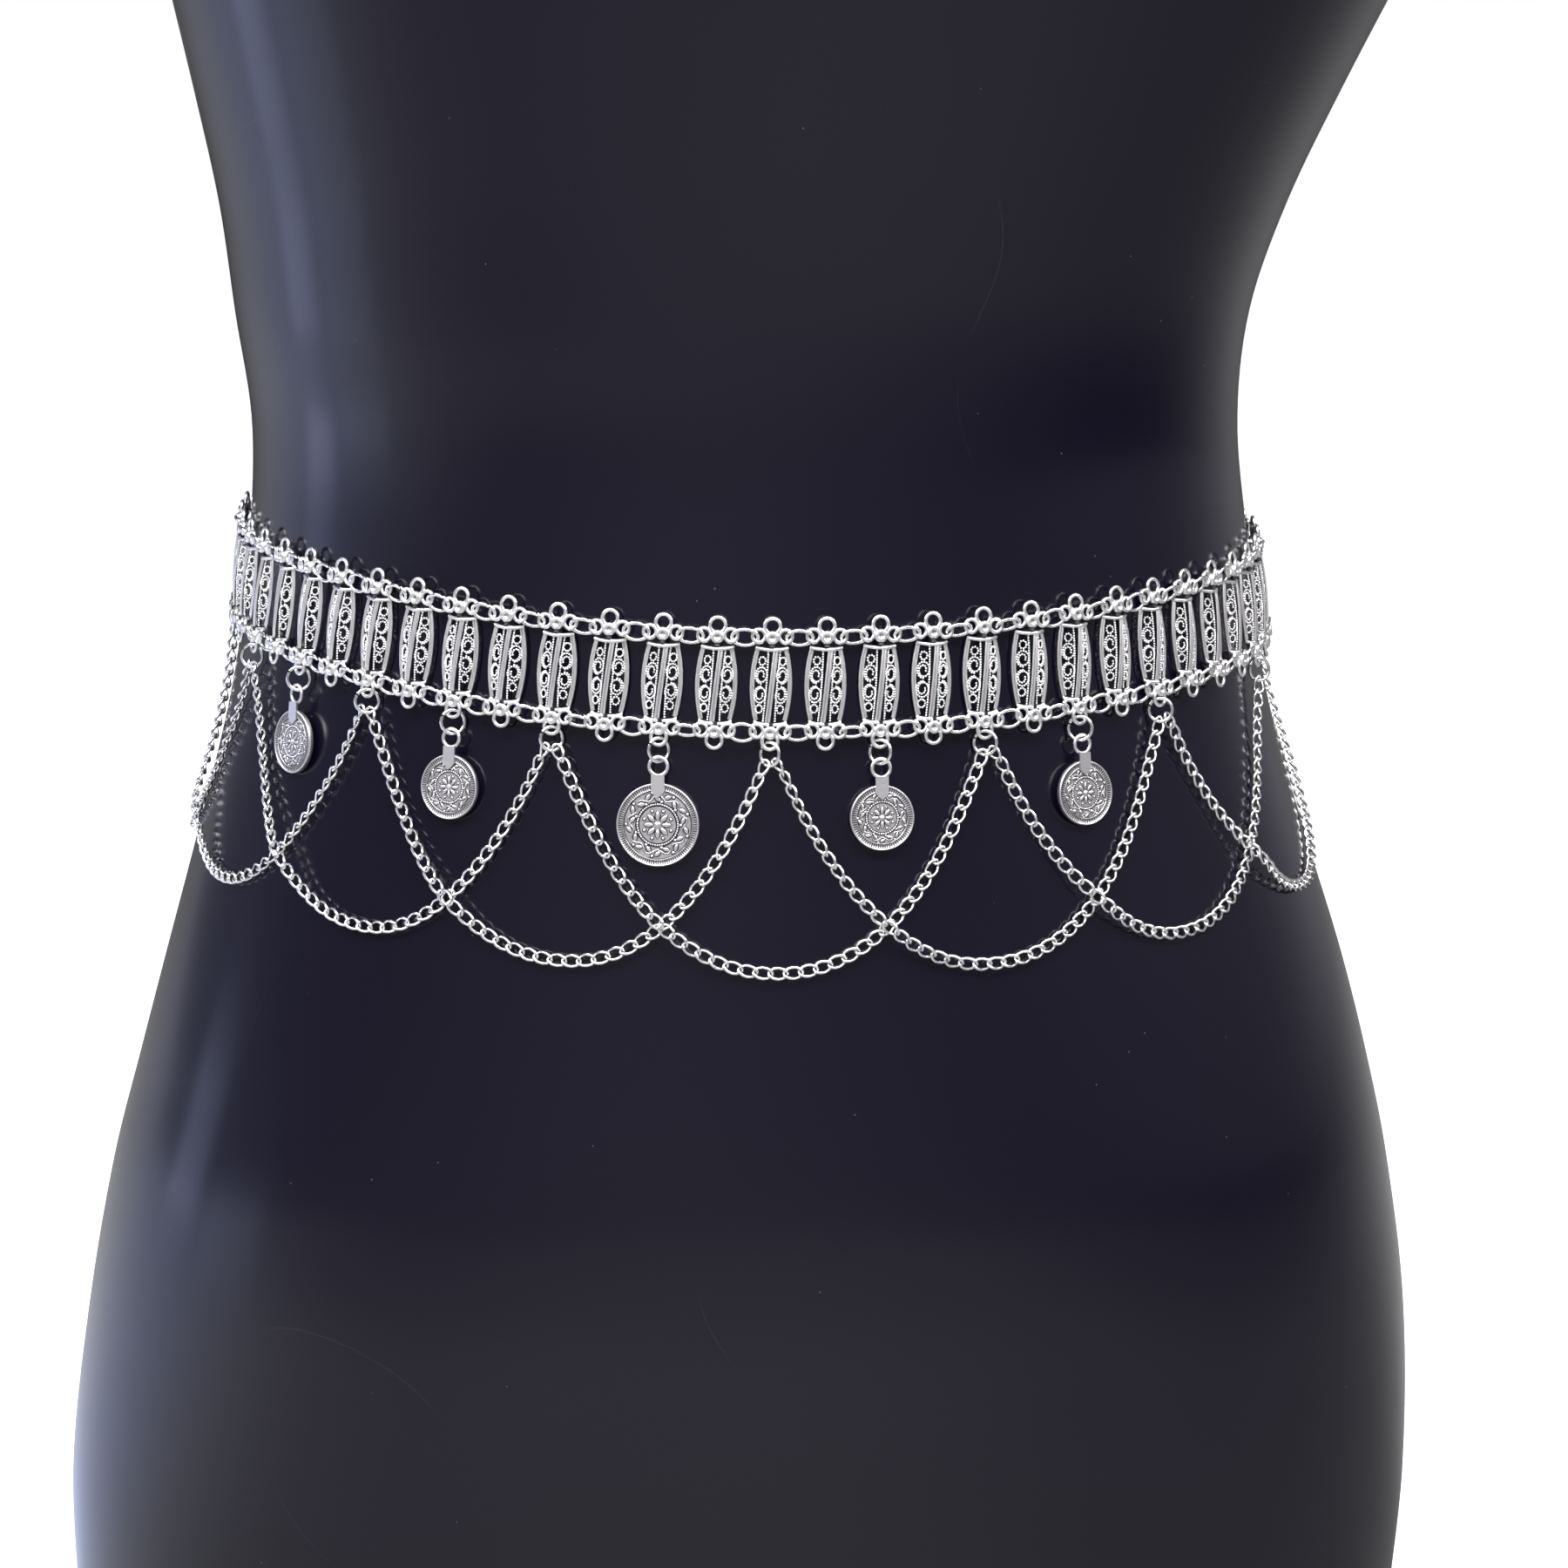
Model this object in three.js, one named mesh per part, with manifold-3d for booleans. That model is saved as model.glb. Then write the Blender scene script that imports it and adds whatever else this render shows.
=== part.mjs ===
// Waist chain on a smooth torso display form.
// Millimetres, +Z up. The front of the form faces -Y and +X is on the right as seen from the front.
// The belt is a closed row of plaques round the form. Coins and chain swags hang from its lower rings.
import * as THREE from "three";
import { mergeVertices } from "three/addons/utils/BufferGeometryUtils.js";
import Module from "manifold-3d";

const wasm = await Module();
wasm.setup();

// Display form: half width and half depth of its oval section at each height above the base, and
// how far the section's middle lies to the right of the base's middle.
const FORM_HEIGHT = 400;
const FORM_SIDES = 36;
const FORM_ROWS = 14;
const FORM_SECTIONS = [
  { z: 0, halfWidth: 160.8, halfDepth: 115, middle: -1.2 },
  { z: 35, halfWidth: 162.6, halfDepth: 121, middle: 0 },
  { z: 75, halfWidth: 159.9, halfDepth: 123.5, middle: 2.1 },
  { z: 111, halfWidth: 154.2, halfDepth: 122, middle: 3.1 },
  { z: 137, halfWidth: 148, halfDepth: 119.5, middle: 3.8 },
  { z: 162, halfWidth: 141.3, halfDepth: 116.2, middle: 3.9 },
  { z: 190, halfWidth: 133, halfDepth: 112, middle: 3.3 },
  { z: 221, halfWidth: 124.6, halfDepth: 107.6, middle: 2.8 },
  { z: 242, halfWidth: 121, halfDepth: 105.2, middle: 2.8 },
  { z: 259, halfWidth: 119.1, halfDepth: 103.9, middle: 2.8 },
  { z: 288, halfWidth: 117.2, halfDepth: 103.2, middle: 1.9 },
  { z: 314, halfWidth: 120.2, halfDepth: 104.5, middle: 1.3 },
  { z: 339, halfWidth: 126, halfDepth: 107, middle: 3.8 },
  { z: 365, halfWidth: 134.8, halfDepth: 110.5, middle: 7.2 },
  { z: 400, halfWidth: 147.8, halfDepth: 116, middle: 12.2 },
];

// Belt line: height of the plaque centres round the form, lower at the front than at the back.
const BELT_HEIGHT = 251.8;
const BELT_FRONT_DIP = 13.6;
const BELT_SIDE_WAVE = 1.4;
const BELT_ROLL = 2.9; // the right side hangs lower than the left
const PLAQUE_LEAN = 0.03; // every plaque leans a little to the right at its top
const BELT_STANDOFF = 2.6; // from the form to the plane of the rings and links
const BELT_STEPS = 720;

// Plaques: 60 equal pitches make one turn, and the last three are left to the clasp at the back.
const PITCHES_ROUND = 60;
const FIRST_PLAQUE = -30;
const PLAQUES_PER_RUN = 3;
const RUN_COUNT = 19;
const LAST_PLAQUE = FIRST_PLAQUE + RUN_COUNT * PLAQUES_PER_RUN - 1;
const CENTRE_SHIFT = 5.6; // plaque 0 sits this far right of the front centre, along the belt
const SEAM_GAP = 0.3;

// Half of a plaque's outline, from its tip ring to its middle. y is inwards: back faces the form.
const HALF_PLAQUE = [
  { z: 14.25, halfWidth: 1.2, back: 0.55, edge: -0.45, ridge: -0.55 },
  { z: 12.4, halfWidth: 2.05, back: 0.55, edge: -0.45, ridge: -0.9 },
  { z: 11.5, halfWidth: 4.2, back: 0.55, edge: -0.45, ridge: -1.1 },
  { z: 8.3, halfWidth: 4.2, back: 0.55, edge: -0.45, ridge: -1.1 },
  { z: 7.9, halfWidth: 3.5, back: 1.9, edge: 1.0, ridge: -0.6 },
  { z: 3.6, halfWidth: 4.6, back: 1.9, edge: 1.0, ridge: -1.2 },
];
const TIP_RING_Z = 12.3;
const TIP_RING_RADIUS = 1.61;
const TIP_RING_WIRE = 0.46;
const TIP_RING_SEAT_ROW = 2; // the row that a real tip ring is joined to

// Links between the side rings of two plaques, solid here.
const LINK_HALF_LENGTH = 2.3;
const LINK_HALF_HEIGHT = 1.1;
const LINK_BACK = 0.45;
const LINK_FRONT = -0.35;
const SIDE_RING_Z = 9.9;
const SIDE_RING_REACH = 4.2;

// Jump rings that hang from the lower tip rings.
const RING_SIDES = [10, 4]; // round the ring and round its wire
const JUMP_RADIUS = 2.65;
const JUMP_WIRE = 0.4;
const JUMP_DROP = 15.4; // plaque centre to ring centre
const JUMP_TURN = THREE.MathUtils.degToRad(43);

// Coins: the plaque each hangs from and its radius.
const COINS = [
  { plaque: -10, radius: 7.2 },
  { plaque: -6, radius: 7.2 },
  { plaque: -2, radius: 9.15 },
  { plaque: 2, radius: 7.2 },
  { plaque: 6, radius: 7.2 },
];
const COIN_THICKNESS = 1.3;
const COIN_RIM = 0.8;
const COIN_RECESS = 0.25;
const COIN_SIDES = 16;
const BAIL_DROP = 19.0; // plaque centre to the centre of the coin's bail ring
const BAIL_RADIUS = 2.05;
const BAIL_WIRE = 0.4;
const COIN_TOP_BELOW_BAIL = 3.7;
const COIN_TILT = THREE.MathUtils.degToRad(3.5);
const TAB_HALF_WIDTH = 1.4;
const TAB_LENGTH = 5.2;
const TAB_THICKNESS = 0.7;

// Chain swags: each joins one ring to the ring eight plaques further on.
const SWAG_STARTS = [-20, -16, -12, -8, -4, 0, 4, 8];
const SWAG_SPAN = 8;
const SWAG_RINGS = [-20, -16, -12, -8, -4, 0, 4, 8, 12, 16];
const SWAG_SAG = 47;
const SWAG_FULLNESS = 2.15; // 2 is a parabola, more is rounder at the bottom
const SWAG_DRIFT = 0.45; // how far, in plaques, a swag slips towards the front
const SWAG_RADIUS = 0.95;
const SWAG_SIDES = 8;
const SWAG_STEPS = 18;
const SWAG_STANDOFF = 1.3;
const SWAG_END_ANGLE = THREE.MathUtils.degToRad(31);
const SWAG_LIFT = 2.3; // where a swag passes over its neighbour
const SWAG_LIFT_AT = 0.25;
const SWAG_LIFT_WIDTH = 0.055;
const SWAG_END_FADE = 0.03; // share of its run over which a swag comes in from its ring

// Closing at the back, between the last plaque and the first.
const END_BAIL_REACH = 14.2; // plaque centre to the tip of its bail
const END_BAIL_WIRE = 0.6;
const END_BAIL_SIDES = 6;
const CLASP_RING_RADIUS = 3.1;
const CLASP_RING_WIRE = 0.6;
const LOBSTER_HALF_WIDTH = 2.6;
const LOBSTER_NECK = 1.2;
const LOBSTER_SHOULDERS = [0.3, 0.7]; // where it is widest, as shares of its length
const LOBSTER_FRONT = -1.2;
const LOBSTER_BACK = 1.2;

const SILVER = new THREE.MeshStandardMaterial({ color: 0xc9c9c6, metalness: 1, roughness: 0.28 });
const OXIDISED = new THREE.MeshStandardMaterial({ color: 0x9a9a98, metalness: 1, roughness: 0.42 });
const BLACK_PLASTIC = new THREE.MeshStandardMaterial({ color: 0x15151a, metalness: 0, roughness: 0.12 });

// A smooth curve through one column of the form's table.
function formSize(z, column) {
  const rows = FORM_SECTIONS;
  const slope = (i) => {
    const a = rows[Math.max(i - 1, 0)];
    const b = rows[Math.min(i + 1, rows.length - 1)];
    return (b[column] - a[column]) / (b.z - a.z);
  };
  let i = 0;
  while (i < rows.length - 2 && z > rows[i + 1].z) i += 1;
  const height = rows[i + 1].z - rows[i].z;
  const u = (z - rows[i].z) / height;
  const u2 = u * u;
  const u3 = u2 * u;
  const ends = (2 * u3 - 3 * u2 + 1) * rows[i][column] + (3 * u2 - 2 * u3) * rows[i + 1][column];
  return ends + height * ((u3 - 2 * u2 + u) * slope(i) + (u3 - u2) * slope(i + 1));
}

// A point of the form at an angle round it (0 is the front) and a height.
function formPoint(angle, z) {
  const x = formSize(z, "middle") + formSize(z, "halfWidth") * Math.sin(angle);
  const y = -formSize(z, "halfDepth") * Math.cos(angle);
  return new THREE.Vector3(x, y, z);
}

function formNormal(angle, z) {
  const e = 1e-3;
  const around = formPoint(angle + e, z).sub(formPoint(angle - e, z));
  const upwards = formPoint(angle, z + e).sub(formPoint(angle, z - e));
  return around.cross(upwards).normalize();
}

function beltHeight(angle) {
  const dip = BELT_FRONT_DIP * Math.cos(angle) + BELT_SIDE_WAVE * Math.cos(3 * angle);
  return BELT_HEIGHT - dip - BELT_ROLL * Math.sin(angle);
}

// The belt line sampled once round, with its running length counted from the front centre.
const beltLine = [];
for (let i = 0; i <= BELT_STEPS; i += 1) {
  const angle = -Math.PI + (2 * Math.PI * i) / BELT_STEPS;
  const z = beltHeight(angle);
  const point = formPoint(angle, z).addScaledVector(formNormal(angle, z), BELT_STANDOFF);
  const before = beltLine[i - 1];
  const length = before ? before.length + before.point.distanceTo(point) : 0;
  beltLine.push({ angle, point, length });
}
const beltLength = beltLine[BELT_STEPS].length;
const lengthAtFront = beltLine[BELT_STEPS / 2].length;
const pitch = beltLength / PITCHES_ROUND;

// The angle round the form at a place on the belt, counted in plaques.
function beltAngle(place) {
  const wanted = lengthAtFront + CENTRE_SHIFT + place * pitch;
  const turns = Math.floor(wanted / beltLength);
  const length = wanted - turns * beltLength;
  let i = 1;
  while (i < BELT_STEPS && beltLine[i].length < length) i += 1;
  const a = beltLine[i - 1];
  const b = beltLine[i];
  const u = (length - a.length) / (b.length - a.length);
  return a.angle + u * (b.angle - a.angle) + turns * 2 * Math.PI;
}

// A frame on the form: x along the belt, y into the form, z up the surface.
function formFrame(angle, z, along, standoff) {
  const outward = formNormal(angle, z);
  const up = outward.clone().cross(along).normalize();
  const right = up.clone().cross(outward);
  const origin = formPoint(angle, z).addScaledVector(outward, standoff);
  return new THREE.Matrix4().makeBasis(right, outward.negate(), up).setPosition(origin);
}

// The level direction round the form at one angle.
function levelAlong(angle, z) {
  const e = 1e-3;
  return formPoint(angle + e, z).sub(formPoint(angle - e, z)).normalize();
}

// The frame of the plaque at one place on the belt.
function beltFrame(place) {
  const angle = beltAngle(place);
  const z = beltHeight(angle);
  const along = levelAlong(angle, z);
  along.z -= PLAQUE_LEAN;
  return formFrame(angle, z, along.normalize(), BELT_STANDOFF);
}

// How steeply the belt climbs across the frame at one place.
function beltSlope(place) {
  const ahead = new THREE.Vector3().setFromMatrixPosition(beltFrame(place + 0.5));
  const local = ahead.applyMatrix4(beltFrame(place - 0.5).invert());
  return Math.atan2(local.z, local.x);
}

// The frame on the form straight below a plaque's tip ring, a given drop below its centre.
function hangingFrame(place, drop, standoff) {
  const tip = new THREE.Vector3(0, 0, -TIP_RING_Z).applyMatrix4(beltFrame(place));
  const x = (tip.x - formSize(tip.z, "middle")) / formSize(tip.z, "halfWidth");
  const y = -tip.y / formSize(tip.z, "halfDepth");
  const angle = Math.atan2(x, y);
  const steepness = 1 - formNormal(angle, tip.z).z ** 2;
  const z = tip.z - (drop - TIP_RING_Z) * Math.sqrt(steepness);
  return formFrame(angle, z, levelAlong(angle, z), standoff);
}

// Geometry helpers.

// Only positions are kept, with shared points merged.
function closed(geometry) {
  const plain = new THREE.BufferGeometry();
  plain.setAttribute("position", geometry.getAttribute("position"));
  if (geometry.index) plain.setIndex(geometry.index);
  return mergeVertices(plain, 1e-4);
}

function solid(geometry) {
  const { attributes, index } = closed(geometry);
  const vertProperties = new Float32Array(attributes.position.array);
  const triVerts = new Uint32Array(index.array);
  return new wasm.Manifold(new wasm.Mesh({ numProp: 3, vertProperties, triVerts }));
}

function geometryOf(manifold) {
  const { vertProperties, triVerts } = manifold.getMesh();
  const geometry = new THREE.BufferGeometry();
  geometry.setAttribute("position", new THREE.BufferAttribute(vertProperties, 3));
  geometry.setIndex(new THREE.BufferAttribute(triVerts, 1));
  return geometry;
}

function joined(geometries) {
  return geometryOf(geometries.map(solid).reduce((whole, part) => whole.add(part)));
}

// A closed skin over rings of points, each ring given in the same order.
function loft(rings) {
  const sides = rings[0].length;
  const positions = rings.flat().flatMap((p) => [p.x, p.y, p.z]);
  const faces = [];
  for (let r = 0; r < rings.length - 1; r += 1) {
    for (let i = 0; i < sides; i += 1) {
      const a = r * sides + i;
      const b = r * sides + ((i + 1) % sides);
      faces.push(a, b, b + sides, a, b + sides, a + sides);
    }
  }
  const last = (rings.length - 1) * sides;
  for (let i = 1; i < sides - 1; i += 1) {
    faces.push(0, i + 1, i, last, last + i, last + i + 1);
  }
  const geometry = new THREE.BufferGeometry();
  geometry.setAttribute("position", new THREE.Float32BufferAttribute(positions, 3));
  return geometry.setIndex(faces);
}

// A ring that stands in the x-z plane.
function uprightRing(radius, wire, sides, wireSides) {
  return new THREE.TorusGeometry(radius, wire, wireSides, sides).rotateX(Math.PI / 2);
}

// A flat outline in x and z, given a thickness in y.
function plate(points, front, back) {
  const shape = new THREE.Shape(points.map(([x, z]) => new THREE.Vector2(x, z)));
  const options = { depth: back - front, bevelEnabled: false };
  return new THREE.ExtrudeGeometry(shape, options).rotateX(Math.PI / 2).translate(0, back, 0);
}

// A straight or curved rod of round section.
function rod(points, radius, sides, steps) {
  const section = new THREE.Shape();
  for (let i = 0; i < sides; i += 1) {
    const angle = (2 * Math.PI * i) / sides;
    const x = radius * Math.cos(angle);
    const y = radius * Math.sin(angle);
    if (i === 0) section.moveTo(x, y);
    else section.lineTo(x, y);
  }
  section.closePath();
  const extrudePath = new THREE.CatmullRomCurve3(points);
  return new THREE.ExtrudeGeometry(section, { extrudePath, steps });
}

const chain = new THREE.Group();
chain.name = "waist_chain_on_form";

function addPiece(name, geometry, material, frame) {
  const mesh = new THREE.Mesh(geometry, material);
  mesh.name = name;
  if (frame) mesh.applyMatrix4(frame);
  chain.add(mesh);
}

const numbered = (name, number) => `${name}_${String(number).padStart(2, "0")}`;

// The display form.
function formGeometry() {
  const rings = [];
  for (let row = 0; row <= FORM_ROWS; row += 1) {
    const z = (FORM_HEIGHT * row) / FORM_ROWS;
    const ring = [];
    for (let side = 0; side < FORM_SIDES; side += 1) {
      ring.push(formPoint((2 * Math.PI * side) / FORM_SIDES, z));
    }
    rings.push(ring);
  }
  return loft(rings);
}

// One plaque: two leaves that meet on a ridge, with a trefoil head at each end.
function plaqueRing({ z, halfWidth, back, edge, ridge }) {
  return [
    new THREE.Vector3(-halfWidth, back, z),
    new THREE.Vector3(-halfWidth, edge, z),
    new THREE.Vector3(0, ridge, z),
    new THREE.Vector3(halfWidth, edge, z),
    new THREE.Vector3(halfWidth, back, z),
  ];
}

function plaqueGeometries(carriesRing) {
  const mirrored = HALF_PLAQUE.map((row) => ({ ...row, z: -row.z }));
  const lower = carriesRing ? mirrored.slice(TIP_RING_SEAT_ROW) : mirrored;
  const rows = [...lower, ...HALF_PLAQUE.toReversed()];
  const pieces = [loft(rows.map(plaqueRing))];
  if (carriesRing) {
    const tip = uprightRing(TIP_RING_RADIUS, TIP_RING_WIRE, ...RING_SIDES);
    pieces.push(tip.translate(0, 0, -TIP_RING_Z));
  }
  return pieces;
}

// The upper and lower links that follow a plaque, in the frame halfway to the next one.
// The last of a run stops short of the next run's side rings.
function linkGeometries(isLast, slope) {
  const end = isLast ? pitch / 2 - SIDE_RING_REACH - SEAM_GAP : LINK_HALF_LENGTH;
  const length = end + LINK_HALF_LENGTH;
  const depth = LINK_BACK - LINK_FRONT;
  const middle = [end - length / 2, LINK_FRONT + depth / 2];
  return [SIDE_RING_Z, -SIDE_RING_Z].map((z) => {
    const bar = new THREE.BoxGeometry(length, depth, 2 * LINK_HALF_HEIGHT);
    return bar.translate(...middle, 0).rotateY(-slope).translate(0, 0, z);
  });
}

const ringPlaques = new Set([...COINS.map((coin) => coin.plaque), ...SWAG_RINGS]);

function plaqueRun(first) {
  const middle = beltFrame(first + (PLAQUES_PER_RUN - 1) / 2);
  const toRun = middle.clone().invert();
  const pieces = [];
  for (let place = first; place < first + PLAQUES_PER_RUN; place += 1) {
    const isLast = place === first + PLAQUES_PER_RUN - 1;
    const plaqueAt = toRun.clone().multiply(beltFrame(place));
    const linkAt = toRun.clone().multiply(beltFrame(place + 0.5));
    const plaque = plaqueGeometries(ringPlaques.has(place));
    pieces.push(...plaque.map((geometry) => geometry.applyMatrix4(plaqueAt)));
    if (place === LAST_PLAQUE) continue;
    const links = linkGeometries(isLast, beltSlope(place + 0.5));
    pieces.push(...links.map((geometry) => geometry.applyMatrix4(linkAt)));
  }
  return { geometry: joined(pieces), frame: middle };
}

// A jump ring, turned to pass through the tip ring above it.
function jumpRing(place) {
  const turn = beltAngle(place) < 0 ? JUMP_TURN : -JUMP_TURN;
  const frame = hangingFrame(place, JUMP_DROP, BELT_STANDOFF);
  return { geometry: uprightRing(JUMP_RADIUS, JUMP_WIRE, ...RING_SIDES).rotateZ(turn), frame };
}

// A coin with its bail ring and the tab that laps its face. Its frame is at the bail.
function coinPiece({ plaque, radius }) {
  const half = COIN_THICKNESS / 2;
  const profile = [
    [0, -half],
    [radius, -half],
    [radius, half],
    [radius - COIN_RIM, half],
    [radius - COIN_RIM - COIN_RECESS, half - COIN_RECESS],
    [0, half - COIN_RECESS],
  ];
  const points = profile.map(([x, y]) => new THREE.Vector2(x, y));
  const disc = new THREE.LatheGeometry(points, COIN_SIDES).rotateX(Math.PI);
  const centre = -COIN_TOP_BELOW_BAIL - radius;
  const tabTop = -BAIL_RADIUS;
  const tab = plate(
    [
      [-TAB_HALF_WIDTH, tabTop],
      [-TAB_HALF_WIDTH, tabTop - TAB_LENGTH + TAB_HALF_WIDTH],
      [0, tabTop - TAB_LENGTH],
      [TAB_HALF_WIDTH, tabTop - TAB_LENGTH + TAB_HALF_WIDTH],
      [TAB_HALF_WIDTH, tabTop],
    ].reverse(),
    -half - TAB_THICKNESS / 2,
    0,
  );
  const bail = uprightRing(BAIL_RADIUS, BAIL_WIRE, ...RING_SIDES);
  const geometry = joined([disc.translate(0, 0, centre), tab, bail]);
  geometry.rotateX(COIN_TILT);
  return { geometry, frame: hangingFrame(plaque, BAIL_DROP, BELT_STANDOFF) };
}

// The middle line of a swag: it leaves both rings at their rims, hangs along the form and
// passes over its neighbour on the left.
function swagPoints(start) {
  const end = start + SWAG_SPAN;
  const reach = JUMP_RADIUS + JUMP_WIRE + SEAM_GAP;
  const sideways = reach * Math.sin(SWAG_END_ANGLE);
  const down = reach * Math.cos(SWAG_END_ANGLE);
  const leaving = new THREE.Vector3(sideways, 0, -down);
  const arriving = new THREE.Vector3(-sideways, 0, -down);
  leaving.applyMatrix4(hangingFrame(start, JUMP_DROP, BELT_STANDOFF));
  arriving.applyMatrix4(hangingFrame(end, JUMP_DROP, BELT_STANDOFF));
  const drift = SWAG_DRIFT * Math.sin(2 * beltAngle((start + end) / 2));
  const points = [];
  for (let step = 0; step <= SWAG_STEPS; step += 1) {
    const u = (1 - Math.cos((Math.PI * step) / SWAG_STEPS)) / 2;
    const place = THREE.MathUtils.lerp(start, end, u) - drift * Math.sin(Math.PI * u);
    const hang = 1 - Math.abs(2 * u - 1) ** SWAG_FULLNESS;
    const z = THREE.MathUtils.lerp(leaving.z, arriving.z, u) - SWAG_SAG * hang;
    const nearEnd = Math.exp(-u / SWAG_END_FADE) + Math.exp((u - 1) / SWAG_END_FADE);
    const lift = Math.exp(-(((u - SWAG_LIFT_AT) / SWAG_LIFT_WIDTH) ** 2) / 2);
    const standoff = SWAG_STANDOFF + (BELT_STANDOFF - SWAG_STANDOFF) * nearEnd + SWAG_LIFT * lift;
    const angle = beltAngle(place) + ((1 - 2 * u) * sideways) / formSize(z, "halfWidth");
    points.push(formPoint(angle, z).addScaledVector(formNormal(angle, z), standoff));
  }
  points[0] = leaving;
  points[SWAG_STEPS] = arriving;
  return points;
}

// A V of wire that gathers the two side rings at an end of the belt.
function endBail(place, side) {
  const frame = beltFrame(place);
  const near = side * (SIDE_RING_REACH + SEAM_GAP + END_BAIL_WIRE);
  const tipAt = beltFrame(place + (side * END_BAIL_REACH) / pitch);
  const tip = new THREE.Vector3().applyMatrix4(frame.clone().invert().multiply(tipAt));
  const arms = [SIDE_RING_Z, -SIDE_RING_Z].map((z) => {
    return rod([new THREE.Vector3(near, 0, z), tip], END_BAIL_WIRE, END_BAIL_SIDES, 1);
  });
  return { geometry: joined(arms), frame };
}

// The lobster clasp, along x from the bail's tip to the clasp ring.
function lobsterGeometry(length) {
  const half = [
    [0, LOBSTER_NECK],
    ...LOBSTER_SHOULDERS.map((share) => [share * length, LOBSTER_HALF_WIDTH]),
    [length, LOBSTER_NECK],
  ];
  const outline = [...half.map(([x, z]) => [x, -z]), ...half.toReversed()];
  return plate(outline, LOBSTER_FRONT, LOBSTER_BACK).translate(-length / 2, 0, 0);
}

const form = formGeometry();
addPiece("form", form, BLACK_PLASTIC);

for (let run = 0; run < RUN_COUNT; run += 1) {
  const { geometry, frame } = plaqueRun(FIRST_PLAQUE + run * PLAQUES_PER_RUN);
  addPiece(numbered("plaque_run", run + 1), geometry, SILVER, frame);
}

SWAG_RINGS.forEach((place, i) => {
  const { geometry, frame } = jumpRing(place);
  addPiece(numbered("swag_ring", i + 1), geometry, SILVER, frame);
});

COINS.forEach((coin, i) => {
  const ring = jumpRing(coin.plaque);
  addPiece(numbered("coin_ring", i + 1), ring.geometry, SILVER, ring.frame);
  const { geometry, frame } = coinPiece(coin);
  addPiece(numbered("coin", i + 1), geometry, OXIDISED, frame);
});

SWAG_STARTS.forEach((start, i) => {
  const geometry = rod(swagPoints(start), SWAG_RADIUS, SWAG_SIDES, SWAG_STEPS);
  addPiece(numbered("swag", i + 1), geometry, SILVER);
});

const nextPlaque = FIRST_PLAQUE + PITCHES_ROUND;
const lastBail = endBail(LAST_PLAQUE, 1);
addPiece("end_bail_left", lastBail.geometry, SILVER, lastBail.frame);
const firstBail = endBail(nextPlaque, -1);
addPiece("end_bail_right", firstBail.geometry, SILVER, firstBail.frame);

const seam = (END_BAIL_WIRE + SEAM_GAP) / pitch;
const lobsterStart = LAST_PLAQUE + END_BAIL_REACH / pitch + seam;
const ringEnd = nextPlaque - END_BAIL_REACH / pitch - seam;
const ringReach = (CLASP_RING_RADIUS + CLASP_RING_WIRE) / pitch;
const lobsterEnd = ringEnd - 2 * ringReach - SEAM_GAP / pitch;
const claspRing = uprightRing(CLASP_RING_RADIUS, CLASP_RING_WIRE, ...RING_SIDES);
addPiece("clasp_ring", claspRing, SILVER, beltFrame(ringEnd - ringReach));
const lobster = lobsterGeometry((lobsterEnd - lobsterStart) * pitch);
addPiece("lobster_clasp", lobster, SILVER, beltFrame((lobsterStart + lobsterEnd) / 2));

export default chain;
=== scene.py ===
# %% [markdown]
# A waist chain on a display form. The real thing is a row of cast silver-coloured plaques, joined
# by oval wire links, with coins and swags of curb chain hung from the lower rings. It is shown on a
# glossy black torso form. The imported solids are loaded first, because every finer piece made here
# takes the place of one of them and moves with the same body.

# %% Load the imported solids
import math

import bmesh
import bpy
from mathutils import Matrix, Quaternion, Vector


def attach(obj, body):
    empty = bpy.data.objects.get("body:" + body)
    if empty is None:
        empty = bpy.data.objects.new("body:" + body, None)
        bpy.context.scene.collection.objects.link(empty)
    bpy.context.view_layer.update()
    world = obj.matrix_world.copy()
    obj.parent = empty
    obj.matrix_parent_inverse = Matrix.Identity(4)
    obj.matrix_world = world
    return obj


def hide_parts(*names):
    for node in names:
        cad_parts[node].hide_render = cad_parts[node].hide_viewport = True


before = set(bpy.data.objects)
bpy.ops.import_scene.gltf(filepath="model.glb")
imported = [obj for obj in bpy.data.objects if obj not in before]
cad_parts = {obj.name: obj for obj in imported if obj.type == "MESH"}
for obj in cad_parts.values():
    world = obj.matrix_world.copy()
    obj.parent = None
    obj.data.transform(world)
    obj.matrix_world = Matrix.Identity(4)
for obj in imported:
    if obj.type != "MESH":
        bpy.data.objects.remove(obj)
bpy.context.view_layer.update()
MM = 0.001
SCENE = bpy.context.scene


def added(name, data):
    """A new object at the origin of the scene."""
    made = bpy.data.objects.new(name, data)
    SCENE.collection.objects.link(made)
    return made


def dress(made, body, slot, *nodes):
    """Puts a piece on the body that it rides on and hides the solids that it stands for. slot is not
    used.
    """
    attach(made, body)
    if nodes:
        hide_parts(*nodes)


# %% [markdown]
# The camera comes first. The photograph was taken with a long lens from a little above the belt.
# The focal length is kept as pixels of an 1800 pixel picture, because that is how it was fitted.

# %% Camera
IMAGE_PIXELS = 1800
FOCAL_PIXELS = 5712
SENSOR_WIDTH = 36.0
CAMERA_AIM = Vector((11.2, 0.0, 200.0)) * MM
CAMERA_DISTANCE = 1200 * MM
CAMERA_ELEVATION = 8


def towards(azimuth, elevation):
    """The direction of an azimuth and an elevation, in degrees from the camera side."""
    a, e = math.radians(azimuth), math.radians(elevation)
    return Vector((math.sin(a) * math.cos(e), -math.cos(a) * math.cos(e), math.sin(e)))


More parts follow.
